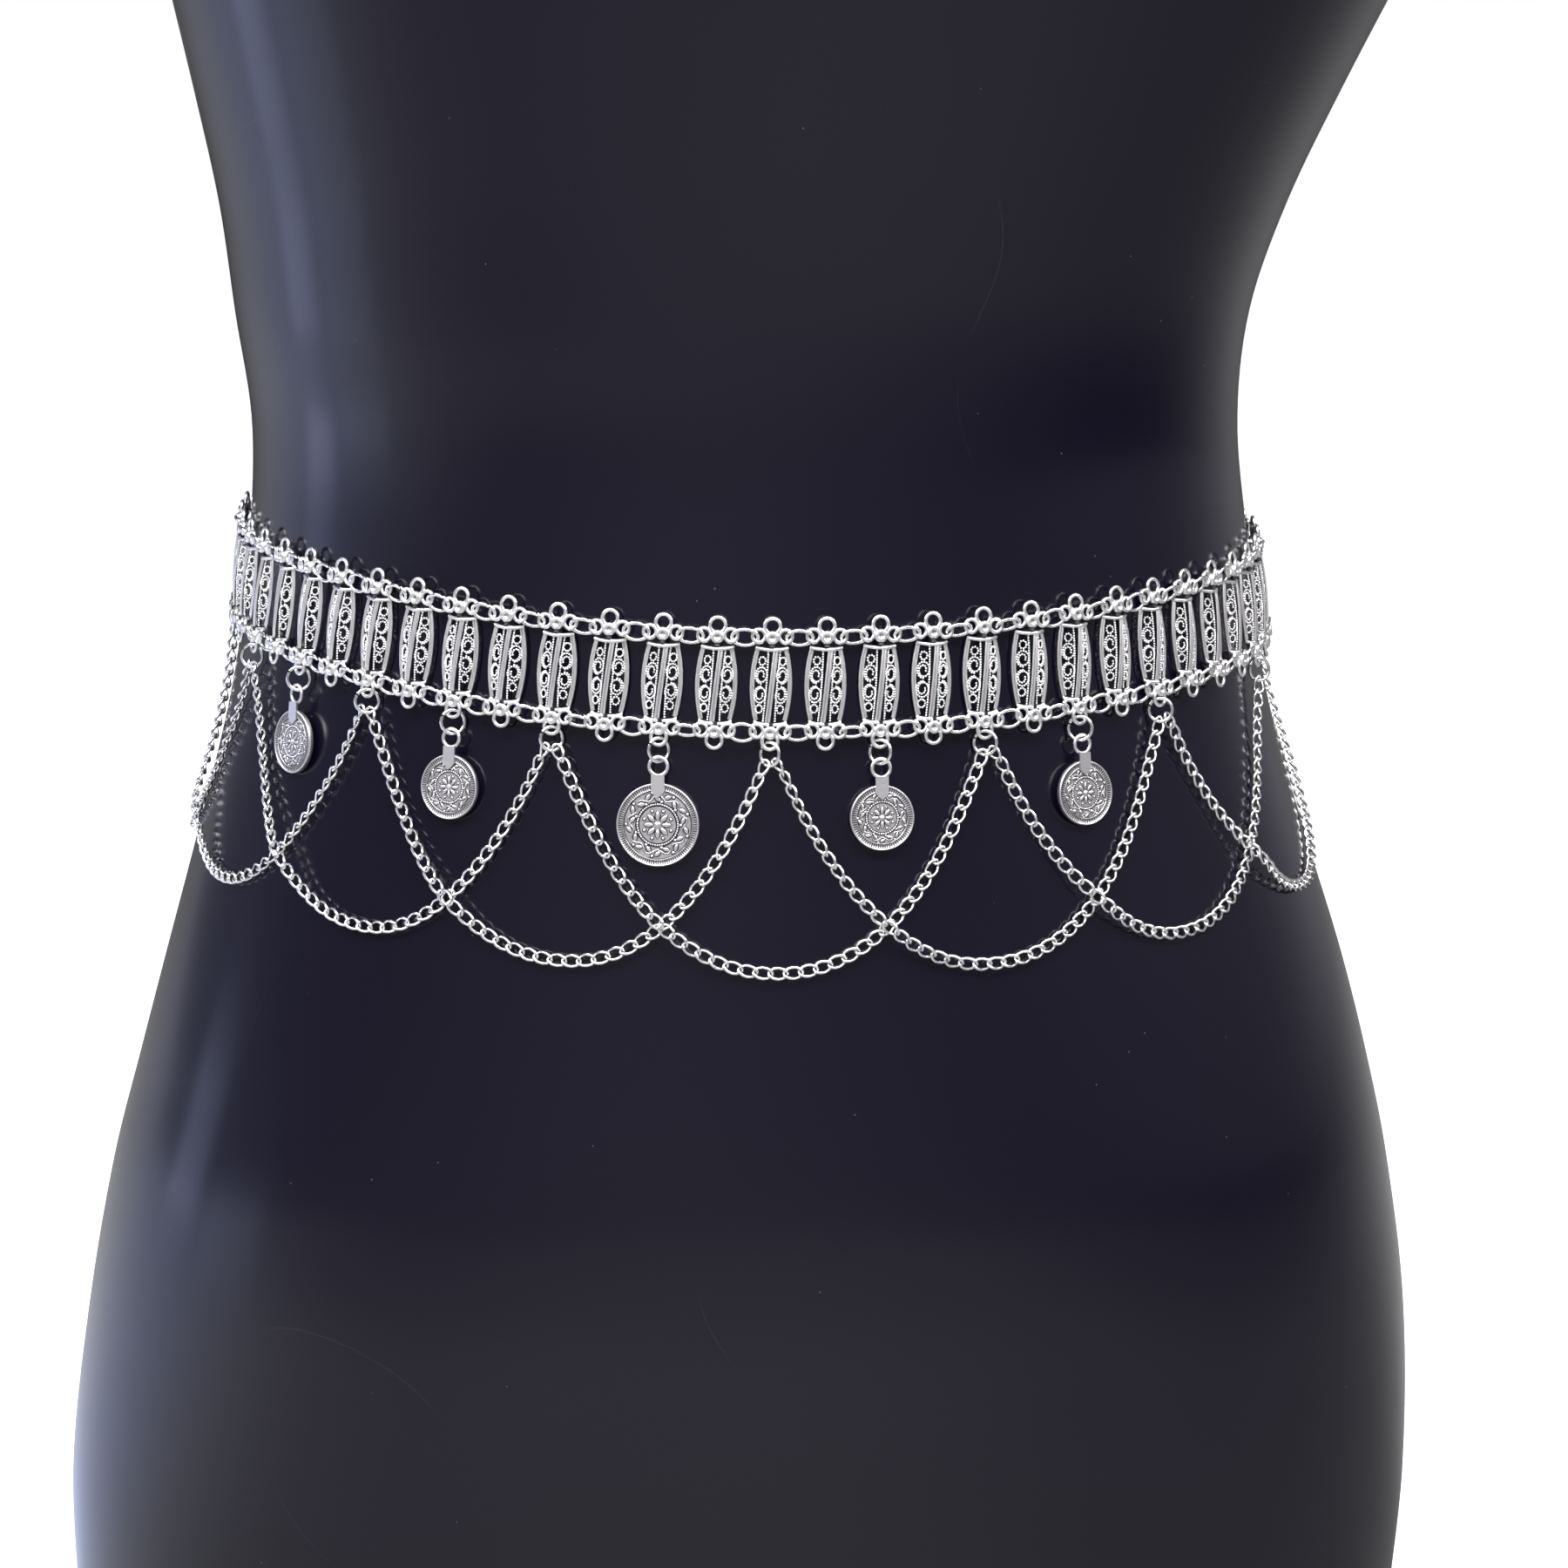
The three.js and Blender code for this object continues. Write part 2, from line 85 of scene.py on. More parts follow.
lens_data = bpy.data.cameras.new("studio_camera")
lens_data.sensor_width = SENSOR_WIDTH
lens_data.lens = SENSOR_WIDTH * FOCAL_PIXELS / IMAGE_PIXELS
camera = added("studio_camera", lens_data)
camera.location = CAMERA_AIM + CAMERA_DISTANCE * towards(0, CAMERA_ELEVATION)
camera.rotation_euler = (math.radians(90 - CAMERA_ELEVATION), 0, 0)
SCENE.camera = camera
print("lens:", round(lens_data.lens, 1), "mm, camera at", [round(c, 3) for c in camera.location])

# %% [markdown]
# Everything lies on the form, so the form is a formula: half width and half depth of an oval
# section, given at some heights in millimetres and joined by a smooth curve. A point is found from
# an angle round the form, 0 at the front, and a height.

# %% The form's surface
FORM_HEIGHT = 400
FORM_SECTIONS = [
    # height, half width, half depth, and where the middle is from left to right
    (0, 160.8, 115, -1.2),
    (35, 162.6, 121, 0),
    (75, 159.9, 123.5, 2.1),
    (111, 154.2, 122, 3.1),
    (137, 148, 119.5, 3.8),
    (162, 141.3, 116.2, 3.9),
    (190, 133, 112, 3.3),
    (221, 124.6, 107.6, 2.8),
    (242, 121, 105.2, 2.8),
    (259, 119.1, 103.9, 2.8),
    (288, 117.2, 103.2, 1.9),
    (314, 120.2, 104.5, 1.3),
    (339, 126, 107, 3.8),
    (365, 134.8, 110.5, 7.2),
    (400, 147.8, 116, 12.2),
]
HALF_WIDTH = 1
HALF_DEPTH = 2
MIDDLE = 3


def form_size(z, column):
    """A smooth curve through one column of the table."""
    rows = FORM_SECTIONS
    last = len(rows) - 1
    i = 0
    while i < last - 1 and z > rows[i + 1][0]:
        i += 1

    def slope(k):
        a = rows[max(k - 1, 0)]
        b = rows[min(k + 1, last)]
        return (b[column] - a[column]) / (b[0] - a[0])

    height = rows[i + 1][0] - rows[i][0]
    u = (z - rows[i][0]) / height
    ends = (2 * u**3 - 3 * u**2 + 1) * rows[i][column] + (3 * u**2 - 2 * u**3) * rows[i + 1][column]
    return ends + height * ((u**3 - 2 * u**2 + u) * slope(i) + (u**3 - u**2) * slope(i + 1))


def form_point(angle, z):
    x = form_size(z, MIDDLE) + form_size(z, HALF_WIDTH) * math.sin(angle)
    return Vector((x, -form_size(z, HALF_DEPTH) * math.cos(angle), z))


def angle_at(point):
    """The angle round the form of a point near its surface."""
    x = (point.x - form_size(point.z, MIDDLE)) / form_size(point.z, HALF_WIDTH)
    return math.atan2(x, -point.y / form_size(point.z, HALF_DEPTH))


def form_normal(angle, z):
    e = 1e-3
    around = form_point(angle + e, z) - form_point(angle - e, z)
    upwards = form_point(angle, z + e) - form_point(angle, z - e)
    return around.cross(upwards).normalized()


# %% [markdown]
# The belt is a line round the form, lower at the front. It is walked once in small steps, so that a
# place counted in plaques can be turned into an angle. Sixty pitches make one turn.

# %% The belt line
BELT_HEIGHT = 251.8
BELT_FRONT_DIP = 13.6
BELT_SIDE_WAVE = 1.4
BELT_ROLL = 2.9
BELT_STANDOFF = 2.6
BELT_STEPS = 720
PITCHES_ROUND = 60
CENTRE_SHIFT = 5.6
PLAQUE_LEAN = 0.03


def belt_height(angle):
    dip = BELT_FRONT_DIP * math.cos(angle) + BELT_SIDE_WAVE * math.cos(3 * angle)
    return BELT_HEIGHT - dip - BELT_ROLL * math.sin(angle)


belt_line = []
for step in range(BELT_STEPS + 1):
    angle = -math.pi + 2 * math.pi * step / BELT_STEPS
    height = belt_height(angle)
    point = form_point(angle, height) + BELT_STANDOFF * form_normal(angle, height)
    run = belt_line[-1][1] + (point - belt_line[-1][2]).length if belt_line else 0.0
    belt_line.append((angle, run, point))
BELT_LENGTH = belt_line[-1][1]
LENGTH_AT_FRONT = belt_line[BELT_STEPS // 2][1]
PITCH = BELT_LENGTH / PITCHES_ROUND


def belt_angle(place):
    """The angle round the form at a place on the belt, counted in plaques."""
    wanted = LENGTH_AT_FRONT + CENTRE_SHIFT + place * PITCH
    laps = math.floor(wanted / BELT_LENGTH)
    length = wanted - laps * BELT_LENGTH
    i = 1
    while i < BELT_STEPS and belt_line[i][1] < length:
        i += 1
    a, b = belt_line[i - 1], belt_line[i]
    u = (length - a[1]) / (b[1] - a[1])
    return a[0] + u * (b[0] - a[0]) + laps * 2 * math.pi


print("belt:", round(BELT_LENGTH, 1), "mm round, pitch", round(PITCH, 3), "mm")

# %% [markdown]
# A small frame stands at each place: x along the belt, y into the form and z up. Plaques lean with
# the belt. Rings, coins and chains hang plumb below a plaque's tip ring, so they get a frame of
# their own on the form further down.

# %% Frames on the form
TIP_RING_Z = 12.3


def form_frame(angle, z, along, standoff):
    outward = form_normal(angle, z)
    up = outward.cross(along).normalized()
    right = up.cross(outward)
    made = Matrix((right, -outward, up)).transposed().to_4x4()
    made.translation = form_point(angle, z) + standoff * outward
    return made


def level_along(angle, z):
    e = 1e-3
    return (form_point(angle + e, z) - form_point(angle - e, z)).normalized()


def belt_frame(place):
    angle = belt_angle(place)
    z = belt_height(angle)
    along = level_along(angle, z)
    along.z -= PLAQUE_LEAN
    return form_frame(angle, z, along.normalized(), BELT_STANDOFF)


def belt_slope(place):
    """How steeply the belt climbs across the frame at one place."""
    ahead = belt_frame(place - 0.5).inverted() @ belt_frame(place + 0.5).translation
    return math.atan2(ahead.z, ahead.x)


def hanging_frame(place, drop):
    tip = belt_frame(place) @ Vector((0, 0, -TIP_RING_Z))
    angle = angle_at(tip)
    steepness = 1 - form_normal(angle, tip.z).z ** 2
    z = tip.z - (drop - TIP_RING_Z) * math.sqrt(steepness)
    return form_frame(angle, z, level_along(angle, z), BELT_STANDOFF)


# %% [markdown]
# There are eight swags of chain. Each leaves one jump ring, hangs along the
# form and comes back to the ring eight plaques further on, passing over its neighbour on the way.
# The route is the one that the solids were built on. Its two ends are carried on to the wire of the
# rings, because the end links of the real chain are hooked on it.

# %% Routes of the swags
SWAG_STARTS = [-20, -16, -12, -8, -4, 0, 4, 8]
SWAG_SPAN = 8
SWAG_SAG = 47
SWAG_FULLNESS = 2.15
SWAG_DRIFT = 0.45
SWAG_STEPS = 18
SWAG_STANDOFF = 1.3
SWAG_END_ANGLE = math.radians(31)
SWAG_LIFT = 2.3
SWAG_LIFT_AT = 0.25
SWAG_LIFT_WIDTH = 0.055
SWAG_END_FADE = 0.03
PARTS_PER_STEP = 8
JUMP_RADIUS = 2.65
JUMP_WIRE = 0.4
JUMP_DROP = 15.4
JUMP_TURN = math.radians(43)
SEAM_GAP = 0.3


def swag_route(start):
    """The middle line of a swag, in millimetres, as the solids have it."""
    end = start + SWAG_SPAN
    reach = JUMP_RADIUS + JUMP_WIRE + SEAM_GAP
    sideways = reach * math.sin(SWAG_END_ANGLE)
    down = reach * math.cos(SWAG_END_ANGLE)
    leaving = hanging_frame(start, JUMP_DROP) @ Vector((sideways, 0, -down))
    arriving = hanging_frame(end, JUMP_DROP) @ Vector((-sideways, 0, -down))
    drift = SWAG_DRIFT * math.sin(2 * belt_angle((start + end) / 2))
    points = [leaving]
    for step in range(1, SWAG_STEPS):
        u = (1 - math.cos(math.pi * step / SWAG_STEPS)) / 2
        place = start + u * SWAG_SPAN - drift * math.sin(math.pi * u)
        hang = 1 - abs(2 * u - 1) ** SWAG_FULLNESS
        z = leaving.z + u * (arriving.z - leaving.z) - SWAG_SAG * hang
        near_end = math.exp(-u / SWAG_END_FADE) + math.exp((u - 1) / SWAG_END_FADE)
        lift = math.exp(-(((u - SWAG_LIFT_AT) / SWAG_LIFT_WIDTH) ** 2) / 2)
        standoff = SWAG_STANDOFF + (BELT_STANDOFF - SWAG_STANDOFF) * near_end + SWAG_LIFT * lift
        angle = belt_angle(place) + (1 - 2 * u) * sideways / form_size(z, HALF_WIDTH)
        points.append(form_point(angle, z) + standoff * form_normal(angle, z))
    points.append(arriving)
    return points


def smooth_line(points, parts):
    """A Catmull-Rom curve through points, with a number of parts between each two."""
    line = []
    for i in range(len(points) - 1):
        p0 = points[max(i - 1, 0)]
        p1 = points[i]
        p2 = points[i + 1]
        p3 = points[min(i + 2, len(points) - 1)]
        for k in range(parts):
            u = k / parts
            a = 2 * p1 + u * (p2 - p0)
            b = u * u * (2 * p0 - 5 * p1 + 4 * p2 - p3)
            c = u**3 * (3 * p1 - p0 - 3 * p2 + p3)
            line.append((a + b + c) / 2)
    return line + [points[-1]]


def line_length(line):
    return sum((b - a).length for a, b in zip(line, line[1:]))


swag_routes = [smooth_line(swag_route(start), PARTS_PER_STEP) for start in SWAG_STARTS]
print("swags, mm:", [round(line_length(route), 1) for route in swag_routes])

# %% [markdown]
# Most of the chain is wire, bent into rings, links and scrolls. One function makes a round wire
# along a line of points, open with flat ends or closed on itself. Shapes are gathered with a value
# of polish and painted shade at each vertex: 1 on what is rubbed bright, 0 in hollows, which are
# dark partly as tarnish and partly as painted shade.

# %% Wire and shapes
SHARP_ANGLE = math.radians(80)


def tube(points, radius, sides=6, closed=False):
    """Vertices and faces of a round wire. radius is one number, or one for each point."""
    count = len(points)
    radii = radius if isinstance(radius, list) else [radius] * count
    tangents = []
    for i in range(count):
        a = points[i - 1] if closed or i else points[0]
        b = points[(i + 1) % count] if closed or i < count - 1 else points[-1]
        tangents.append((b - a).normalized())
    normals = [tangents[0].orthogonal().normalized()]
    for tangent in tangents[1:] + tangents[:1]:
        before = normals[-1]
        normals.append((before - tangent * before.dot(tangent)).normalized())
    turned = normals.pop()
    slip = 0.0
    if closed:
        side = tangents[0].cross(turned)
        slip = math.atan2(normals[0].dot(side), normals[0].dot(turned))
    vertices = []
    for i in range(count):
        normal = Quaternion(tangents[i], slip * i / count) @ normals[i]
        side = tangents[i].cross(normal)
        for k in range(sides):
            a = 2 * math.pi * k / sides
            vertices.append(points[i] + radii[i] * (math.cos(a) * normal + math.sin(a) * side))
    faces = []
    for i in range(count if closed else count - 1):
        j = (i + 1) % count
        for k in range(sides):
            m = (k + 1) % sides
            faces.append((i * sides + k, i * sides + m, j * sides + m, j * sides + k))
    if not closed:
        faces.append(tuple(reversed(range(sides))))
        faces.append(tuple(range((count - 1) * sides, count * sides)))
    return vertices, faces


def banded_faces(rows, segments):
    """Faces of a closed turned shape: a fan, bands of four-sided faces and a fan."""
    last = 1 + (rows - 1) * segments
    faces = []
    for k in range(segments):
        m = (k + 1) % segments
        faces.append((0, 1 + m, 1 + k))
        for row in range(rows - 1):
            a = 1 + row * segments
            faces.append((a + k, a + m, a + segments + m, a + segments + k))
        faces.append((last + k, last + m, last + segments))
    return faces


def turns(count):
    """The angles of a whole turn in equal steps."""
    return [2 * math.pi * i / count for i in range(count)]


def polar(radius, angle, y):
    return Vector((radius * math.sin(angle), y, radius * math.cos(angle)))


def turned_profile(profile, segments):
    """A lathe about the y axis. profile holds (radius, y), starting and ending on the axis."""
    vertices = [Vector((0, profile[0][1], 0))]
    for radius, y in profile[1:-1]:
        vertices += [polar(radius, a, y) for a in turns(segments)]
    vertices.append(Vector((0, profile[-1][1], 0)))
    return vertices, banded_faces(len(profile) - 2, segments)


class Shape:
    """Vertices and faces in millimetres, gathered from several parts."""

    def __init__(self):
        self.vertices = []
        self.faces = []
        self.polish_and_shade = []

    def add(self, part, polish_and_shade=1.0, at=None):
        vertices, faces = part
        first = len(self.vertices)
        self.vertices += [at @ v for v in vertices] if at else vertices
        self.faces += [tuple(first + i for i in face) for face in faces]
        self.polish_and_shade += polish_and_shade if isinstance(polish_and_shade, list) else [polish_and_shade] * len(vertices)

    def to_object(self, name):
        mesh = bpy.data.meshes.new(name)
        mesh.from_pydata([v * MM for v in self.vertices], [], self.faces)
        mesh.shade_smooth()
        mesh.set_sharp_from_angle(angle=SHARP_ANGLE)
        # each vertex keeps its value of polish and painted shade
        layer = mesh.attributes.new("polish_and_shade", "FLOAT", "POINT")
        layer.data.foreach_set("value", self.polish_and_shade)
        return added(name, mesh)


def count_triangles(made):
    made.data.calc_loop_triangles()
    return len(made.data.loop_triangles)


# %% [markdown]
# Node trees are built in the script, both for materials and for repeated pieces. One method adds any
# node. Sums on sockets are written as Python expressions, with a small class that adds the Math
# nodes, so that a material reads like a formula.

# %% Node trees
class Value:
    """A number socket that can be used in a sum, as a number can."""

    def __init__(self, graph, socket):
        self.graph = graph
        self.socket = socket

    def math(self, operation, *numbers):
        inputs = dict(enumerate(numbers))
        made = self.graph.node("ShaderNodeMath", {"operation": operation}, inputs)
        return Value(self.graph, made.outputs[0])

    def __add__(self, other):
        return self.math("ADD", self, other)

    __radd__ = __add__

    def __mul__(self, other):
        return self.math("MULTIPLY", self, other)

    __rmul__ = __mul__

    def __sub__(self, other):
        return self.math("SUBTRACT", self, other)

    def __rsub__(self, other):
        return self.math("SUBTRACT", other, self)

    def __pow__(self, other):
        return self.math("POWER", self, other)

    def __abs__(self):
        return self.math("ABSOLUTE", self)

    def above(self, low, high):
        """0 up to low, 1 from high on, and a smooth step between."""
        made = self.graph.node(
            "ShaderNodeMapRange",
            {"interpolation_type": "SMOOTHSTEP"},
            {"Value": self, "From Min": low, "From Max": high},
        )
        return Value(self.graph, made.outputs[0])


class Graph:
    """A node tree under construction."""

    def __init__(self, tree):
        self.tree = tree
        tree.nodes.clear()

    def node(self, kind, settings=None, inputs=None):
        made = self.tree.nodes.new(kind)
        for name, setting in (settings or {}).items():
            setattr(made, name, setting)
        for key, value in (inputs or {}).items():
            if isinstance(value, Value):
                value = value.socket
            if isinstance(value, bpy.types.NodeSocket):
                self.tree.links.new(value, made.inputs[key])
            else:
                made.inputs[key].default_value = value
        return made

    def value(self, kind, output, settings=None, inputs=None):
        return Value(self, self.node(kind, settings, inputs).outputs[output])

    def noise(self, scale, detail):
        coords = self.node("ShaderNodeTexCoord").outputs["Object"]
        inputs = {"Vector": coords, "Scale": scale, "Detail": detail}
        return self.value("ShaderNodeTexNoise", "Fac", None, inputs)

    def blend(self, factor, low, high):
        """A mix of two colours."""
        inputs = {0: factor, 6: (*low, 1), 7: (*high, 1)}
        return self.node("ShaderNodeMix", {"data_type": "RGBA"}, inputs).outputs[2]


def new_material(name):
    made = bpy.data.materials.new(name)
    made.use_nodes = True
    return made, Graph(made.node_tree)


def finish_material(graph, relief, **inputs):
    """A surface with these shader inputs, named with underscores, and a fine relief."""
    bump = graph.node("ShaderNodeBump", None, relief)
    named_inputs = {name.replace("_", " "): value for name, value in inputs.items()}
    named_inputs["Normal"] = bump.outputs[0]
    shader = graph.node("ShaderNodeBsdfPrincipled", None, named_inputs)
    graph.node("ShaderNodeOutputMaterial", None, {"Surface": shader.outputs[0]})


# %% [markdown]
# Silver plate on cast and bent metal. It is bright where it is rubbed and dark in its hollows, partly
# as tarnish and partly as painted shade. Fine noise in the roughness breaks the reflections up, as on
# cheap castings, and a small bump keeps the wire from looking like glass.

# %% Silver
def silver_material(name, bright, dark, rough, grain, relief):
    made, graph = new_material(name)
    polish_and_shade = graph.value("ShaderNodeAttribute", "Fac", {"attribute_name": "polish_and_shade"})
    cloud = graph.noise(900, 3)
    fine = graph.noise(grain, 2)
    # the attribute darkens the hollows, partly as tarnish and partly as painted shade
    clean_and_unshaded = (polish_and_shade + 0.35 * (cloud - 0.5)).above(0.15, 0.85)
    colour = graph.blend(clean_and_unshaded, dark, bright)
    roughness = rough + 0.22 * (fine - 0.45) + 0.25 * (1 - clean_and_unshaded)
    grains = {"Strength": relief, "Distance": 0.00008, "Height": fine}
    finish_material(graph, grains, Base_Color=colour, Metallic=1.0, Roughness=roughness)
    return made


# the dark colours go into the hollows, as tarnish and as painted shade
CAST_SILVER = silver_material("cast_silver", (0.95, 0.94, 0.94), (0.05, 0.05, 0.055), 0.31, 5200, 0.5)
WIRE_SILVER = silver_material("wire_silver", (0.95, 0.94, 0.94), (0.06, 0.06, 0.065), 0.21, 4200, 0.3)
COIN_SILVER = silver_material("coin_silver", (0.76, 0.74, 0.76), (0.03, 0.028, 0.034), 0.38, 6000, 0.6)

# %% [markdown]
# The form is moulded black plastic with a high gloss. Under a close look it has specks of dust, a
# few hairline scratches and a slight waviness that bends its reflections.

# %% Black gloss
def form_material():
    made, graph = new_material("black_gloss")
    coords = graph.node("ShaderNodeTexCoord").outputs["Object"]
    field = graph.noise(7, 1)
    patch = graph.noise(16, 2).above(0.6, 0.66)
    hairline = (1 - abs(field - 0.5).above(0.0, 0.0008)) * patch
    cells = graph.node("ShaderNodeTexVoronoi", None, {"Vector": coords, "Scale": 260.0})
    chance = graph.value("ShaderNodeSeparateColor", 0, None, {0: cells.outputs["Color"]})
    near = 1 - Value(graph, cells.outputs["Distance"]).above(0.02, 0.07)
    speck = near * chance.above(0.93, 0.94)
    cloud = graph.noise(16, 4)
    mark = 0.05 * hairline + 0.45 * speck
    colour = graph.blend(mark, (0.0035, 0.0026, 0.009), (0.16, 0.16, 0.19))
    roughness = 0.13 + 0.09 * cloud + 0.3 * mark
    waves = {"Strength": 0.25, "Distance": 0.0012, "Height": graph.noise(9, 1)}
    finish_material(graph, waves, Base_Color=colour, Roughness=roughness, Specular_IOR_Level=0.42)
    return made


BLACK_GLOSS = form_material()

# %% [markdown]
# Two trees repeat things. One strings a piece along a line, as beads or links on a chain. The other
# stands a piece on each point, turned by an attribute of the point. Both end in Realize Instances,
# and the result is kept as a plain mesh.

# %% Trees that repeat a piece
def new_tree(name, sockets):
    """A geometry tree with named inputs. Returns its graph and its input node."""
    tree = bpy.data.node_groups.new(name, "GeometryNodeTree")
    graph = Graph(tree)
    tree.interface.new_socket("Geometry", in_out="INPUT", socket_type="NodeSocketGeometry")
    for label, kind in sockets.items():
        tree.interface.new_socket(label, in_out="INPUT", socket_type=kind)
    tree.interface.new_socket("Geometry", in_out="OUTPUT", socket_type="NodeSocketGeometry")
    return graph, graph.node("NodeGroupInput").outputs


COMMON_INPUTS = {
    "Piece": "NodeSocketObject",
    "Play": "NodeSocketFloat",
    "Seed": "NodeSocketInt",
    "Material": "NodeSocketMaterial",
}


def put_pieces(graph, given, points, rotation):
    """The piece on every point, rolled a little at random, as real and painted geometry."""
    play = Value(graph, given["Play"])
    limits = {2: 0 - play, 3: play, "Seed": given["Seed"]}
    jitter = graph.node("FunctionNodeRandomValue", {"data_type": "FLOAT"}, limits)
    turning = {"Axis": (1, 0, 0), "Angle": jitter.outputs[1]}
    roll = graph.node("FunctionNodeAxisAngleToRotation", None, turning)
    both = {0: rotation, 1: roll.outputs[0]}
    turned = graph.node("FunctionNodeRotateRotation", {"rotation_space": "LOCAL"}, both)
    piece = graph.node("GeometryNodeObjectInfo", None, {"Object": given["Piece"]})
    where = {
        "Points": points,
        "Instance": piece.outputs["Geometry"],
        "Rotation": turned.outputs[0],
    }
    placed = graph.node("GeometryNodeInstanceOnPoints", None, where)
    real = graph.node("GeometryNodeRealizeInstances", None, {0: placed.outputs[0]})
    paint = {"Geometry": real.outputs[0], "Material": given["Material"]}
    painted = graph.node("GeometryNodeSetMaterial", None, paint)
    graph.node("NodeGroupOutput", None, {0: painted.outputs[0]})
    return graph.tree


def named(graph, kind, name):
    """An attribute of the points."""
    attribute = graph.node("GeometryNodeInputNamedAttribute", {"data_type": kind}, {"Name": name})
    return attribute.outputs[0]


def string_tree():
    sockets = {"Pitch": "NodeSocketFloat", "End Room": "NodeSocketFloat", **COMMON_INPUTS}
    graph, given = new_tree("string_on_line", sockets)
    line = graph.node("GeometryNodeMeshToCurve", None, {0: given["Geometry"]})
    whole = graph.value("GeometryNodeSplineLength", 0)
    room = Value(graph, given["End Room"])
    ends = {0: line.outputs[0], 4: room, 5: whole - room}
    trimmed = graph.node("GeometryNodeTrimCurve", {"mode": "LENGTH"}, ends)
    gaps = whole.math("DIVIDE", whole, Value(graph, given["Pitch"]))
    gaps = gaps.math("ROUND", gaps)
    count = {"Curve": trimmed.outputs[0], "Count": gaps + 1}
    spaced = graph.node("GeometryNodeResampleCurve", None, count)
    tangent = graph.node("GeometryNodeInputTangent").outputs[0]
    along = graph.node("FunctionNodeAlignRotationToVector", {"axis": "X"}, {"Vector": tangent})
    facing = graph.node(
        "FunctionNodeAlignRotationToVector",
        {"axis": "Z", "pivot_axis": "X"},
        {"Rotation": along.outputs[0], "Vector": named(graph, "FLOAT_VECTOR", "outward")},
    )
    return put_pieces(graph, given, spaced.outputs[0], facing.outputs[0])


def stand_tree():
    graph, given = new_tree("stand_on_points", COMMON_INPUTS)
    return put_pieces(graph, given, given["Geometry"], named(graph, "QUATERNION", "turn"))


STRING_TREE = string_tree()
STAND_TREE = stand_tree()


def realised(name, source, tree, inputs):
    """Runs a tree on a source object and keeps what it makes as a plain mesh object."""
    inputs = {label.replace("_", " "): value for label, value in inputs.items()}
    modifier = source.modifiers.new("repeat", "NODES")
    modifier.node_group = tree
    for item in tree.interface.items_tree:
        if item.in_out == "INPUT" and item.name.lower() in inputs:
            modifier[item.identifier] = inputs[item.name.lower()]
    source.update_tag()
    bpy.context.view_layer.update()
    evaluated = source.evaluated_get(bpy.context.evaluated_depsgraph_get())
    mesh = bpy.data.meshes.new_from_object(evaluated)
    mesh.name = name
    source.modifiers.remove(modifier)
    bpy.data.objects.remove(source)
    return added(name, mesh)


def strung(name, lines, outward, **inputs):
    """A piece strung on lines of points in millimetres, facing the given way at each point."""
    points = [p for line in lines for p in line]
    edges = []
    first = 0
    for line in lines:
        edges += [(first + i, first + i + 1) for i in range(len(line) - 1)]
        first += len(line)
    mesh = bpy.data.meshes.new(name)
    mesh.from_pydata([p * MM for p in points], edges, [])
    layer = mesh.attributes.new("outward", "FLOAT_VECTOR", "POINT")
    layer.data.foreach_set("vector", [c for way in outward for c in way])
    return realised(name, added("guide", mesh), STRING_TREE, inputs)


def stood(name, frames, **inputs):
    """A piece stood on each of some frames in millimetres."""
    mesh = bpy.data.meshes.new(name)
    mesh.from_pydata([f.translation * MM for f in frames], [], [])
    layer = mesh.attributes.new("turn", "QUATERNION", "POINT")
    facings = [f.to_quaternion() for f in frames]
    layer.data.foreach_set("value", [c for facing in facings for c in facing])
    return realised(name, added("guide", mesh), STAND_TREE, inputs)


# %% [markdown]
# The curb chain. A curb link is an oval of round wire with its two ends twisted against each other,
# so that the links lie flat and hook through one another. One link is bent by formula and strung
# along each swag. There are hundreds, so a link has only a few dozen faces.

# %% One curb link
LINK_PITCH = 3.36
LINK_WIRE = 0.34
LINK_HALF_LENGTH = 2.15
LINK_HALF_WIDTH = 1.26
LINK_SQUARENESS = 2.15
LINK_TWIST = math.radians(42)
LINK_SEGMENTS = 14
LINK_SIDES = 6
LINK_PLAY = math.radians(5)


def flat_link():
    """Points of the link in the x-y plane before it is twisted, an oval with full corners."""
    points = []
    for i in range(LINK_SEGMENTS):
        a = 2 * math.pi * (i + 0.5) / LINK_SEGMENTS
        x = math.copysign(abs(math.cos(a)) ** (2 / LINK_SQUARENESS), math.cos(a))
        y = math.copysign(abs(math.sin(a)) ** (2 / LINK_SQUARENESS), math.sin(a))
        points.append(Vector((LINK_HALF_LENGTH * x, LINK_HALF_WIDTH * y, 0)))
    return points


def curb_link():
    points = []
    for p in flat_link():
        twist = Matrix.Rotation(LINK_TWIST * p.x / LINK_HALF_LENGTH, 3, "X")
        points.append(twist @ p)
    shape = Shape()
    shape.add(tube(points, LINK_WIRE, LINK_SIDES, closed=True))
    return shape.to_object("curb_link")


link = curb_link()
print("a curb link has", count_triangles(link), "triangles")

# %% [markdown]
# Each swag is one piece. Its end links are carried on to the ring's wire.

# %% The swags
HOOKED = JUMP_RADIUS - JUMP_WIRE - 2 * LINK_WIRE
SWAG_ROLLS = [
    # degrees at the first ring and how far along it fades, then the same at the last ring
    ((30, 0.3), (-50, 0.45)),
    ((35, 0.35), (-40, 0.4)),
    ((15, 0.1), (-40, 0.3)),
    ((20, 0.1), (-50, 0.25)),
    ((20, 0.1), (-35, 0.2)),
    ((66, 0.5), (-30, 0.15)),
    ((62, 0.4), (-35, 0.2)),
    ((25, 0.15), (-60, 0.5)),
]


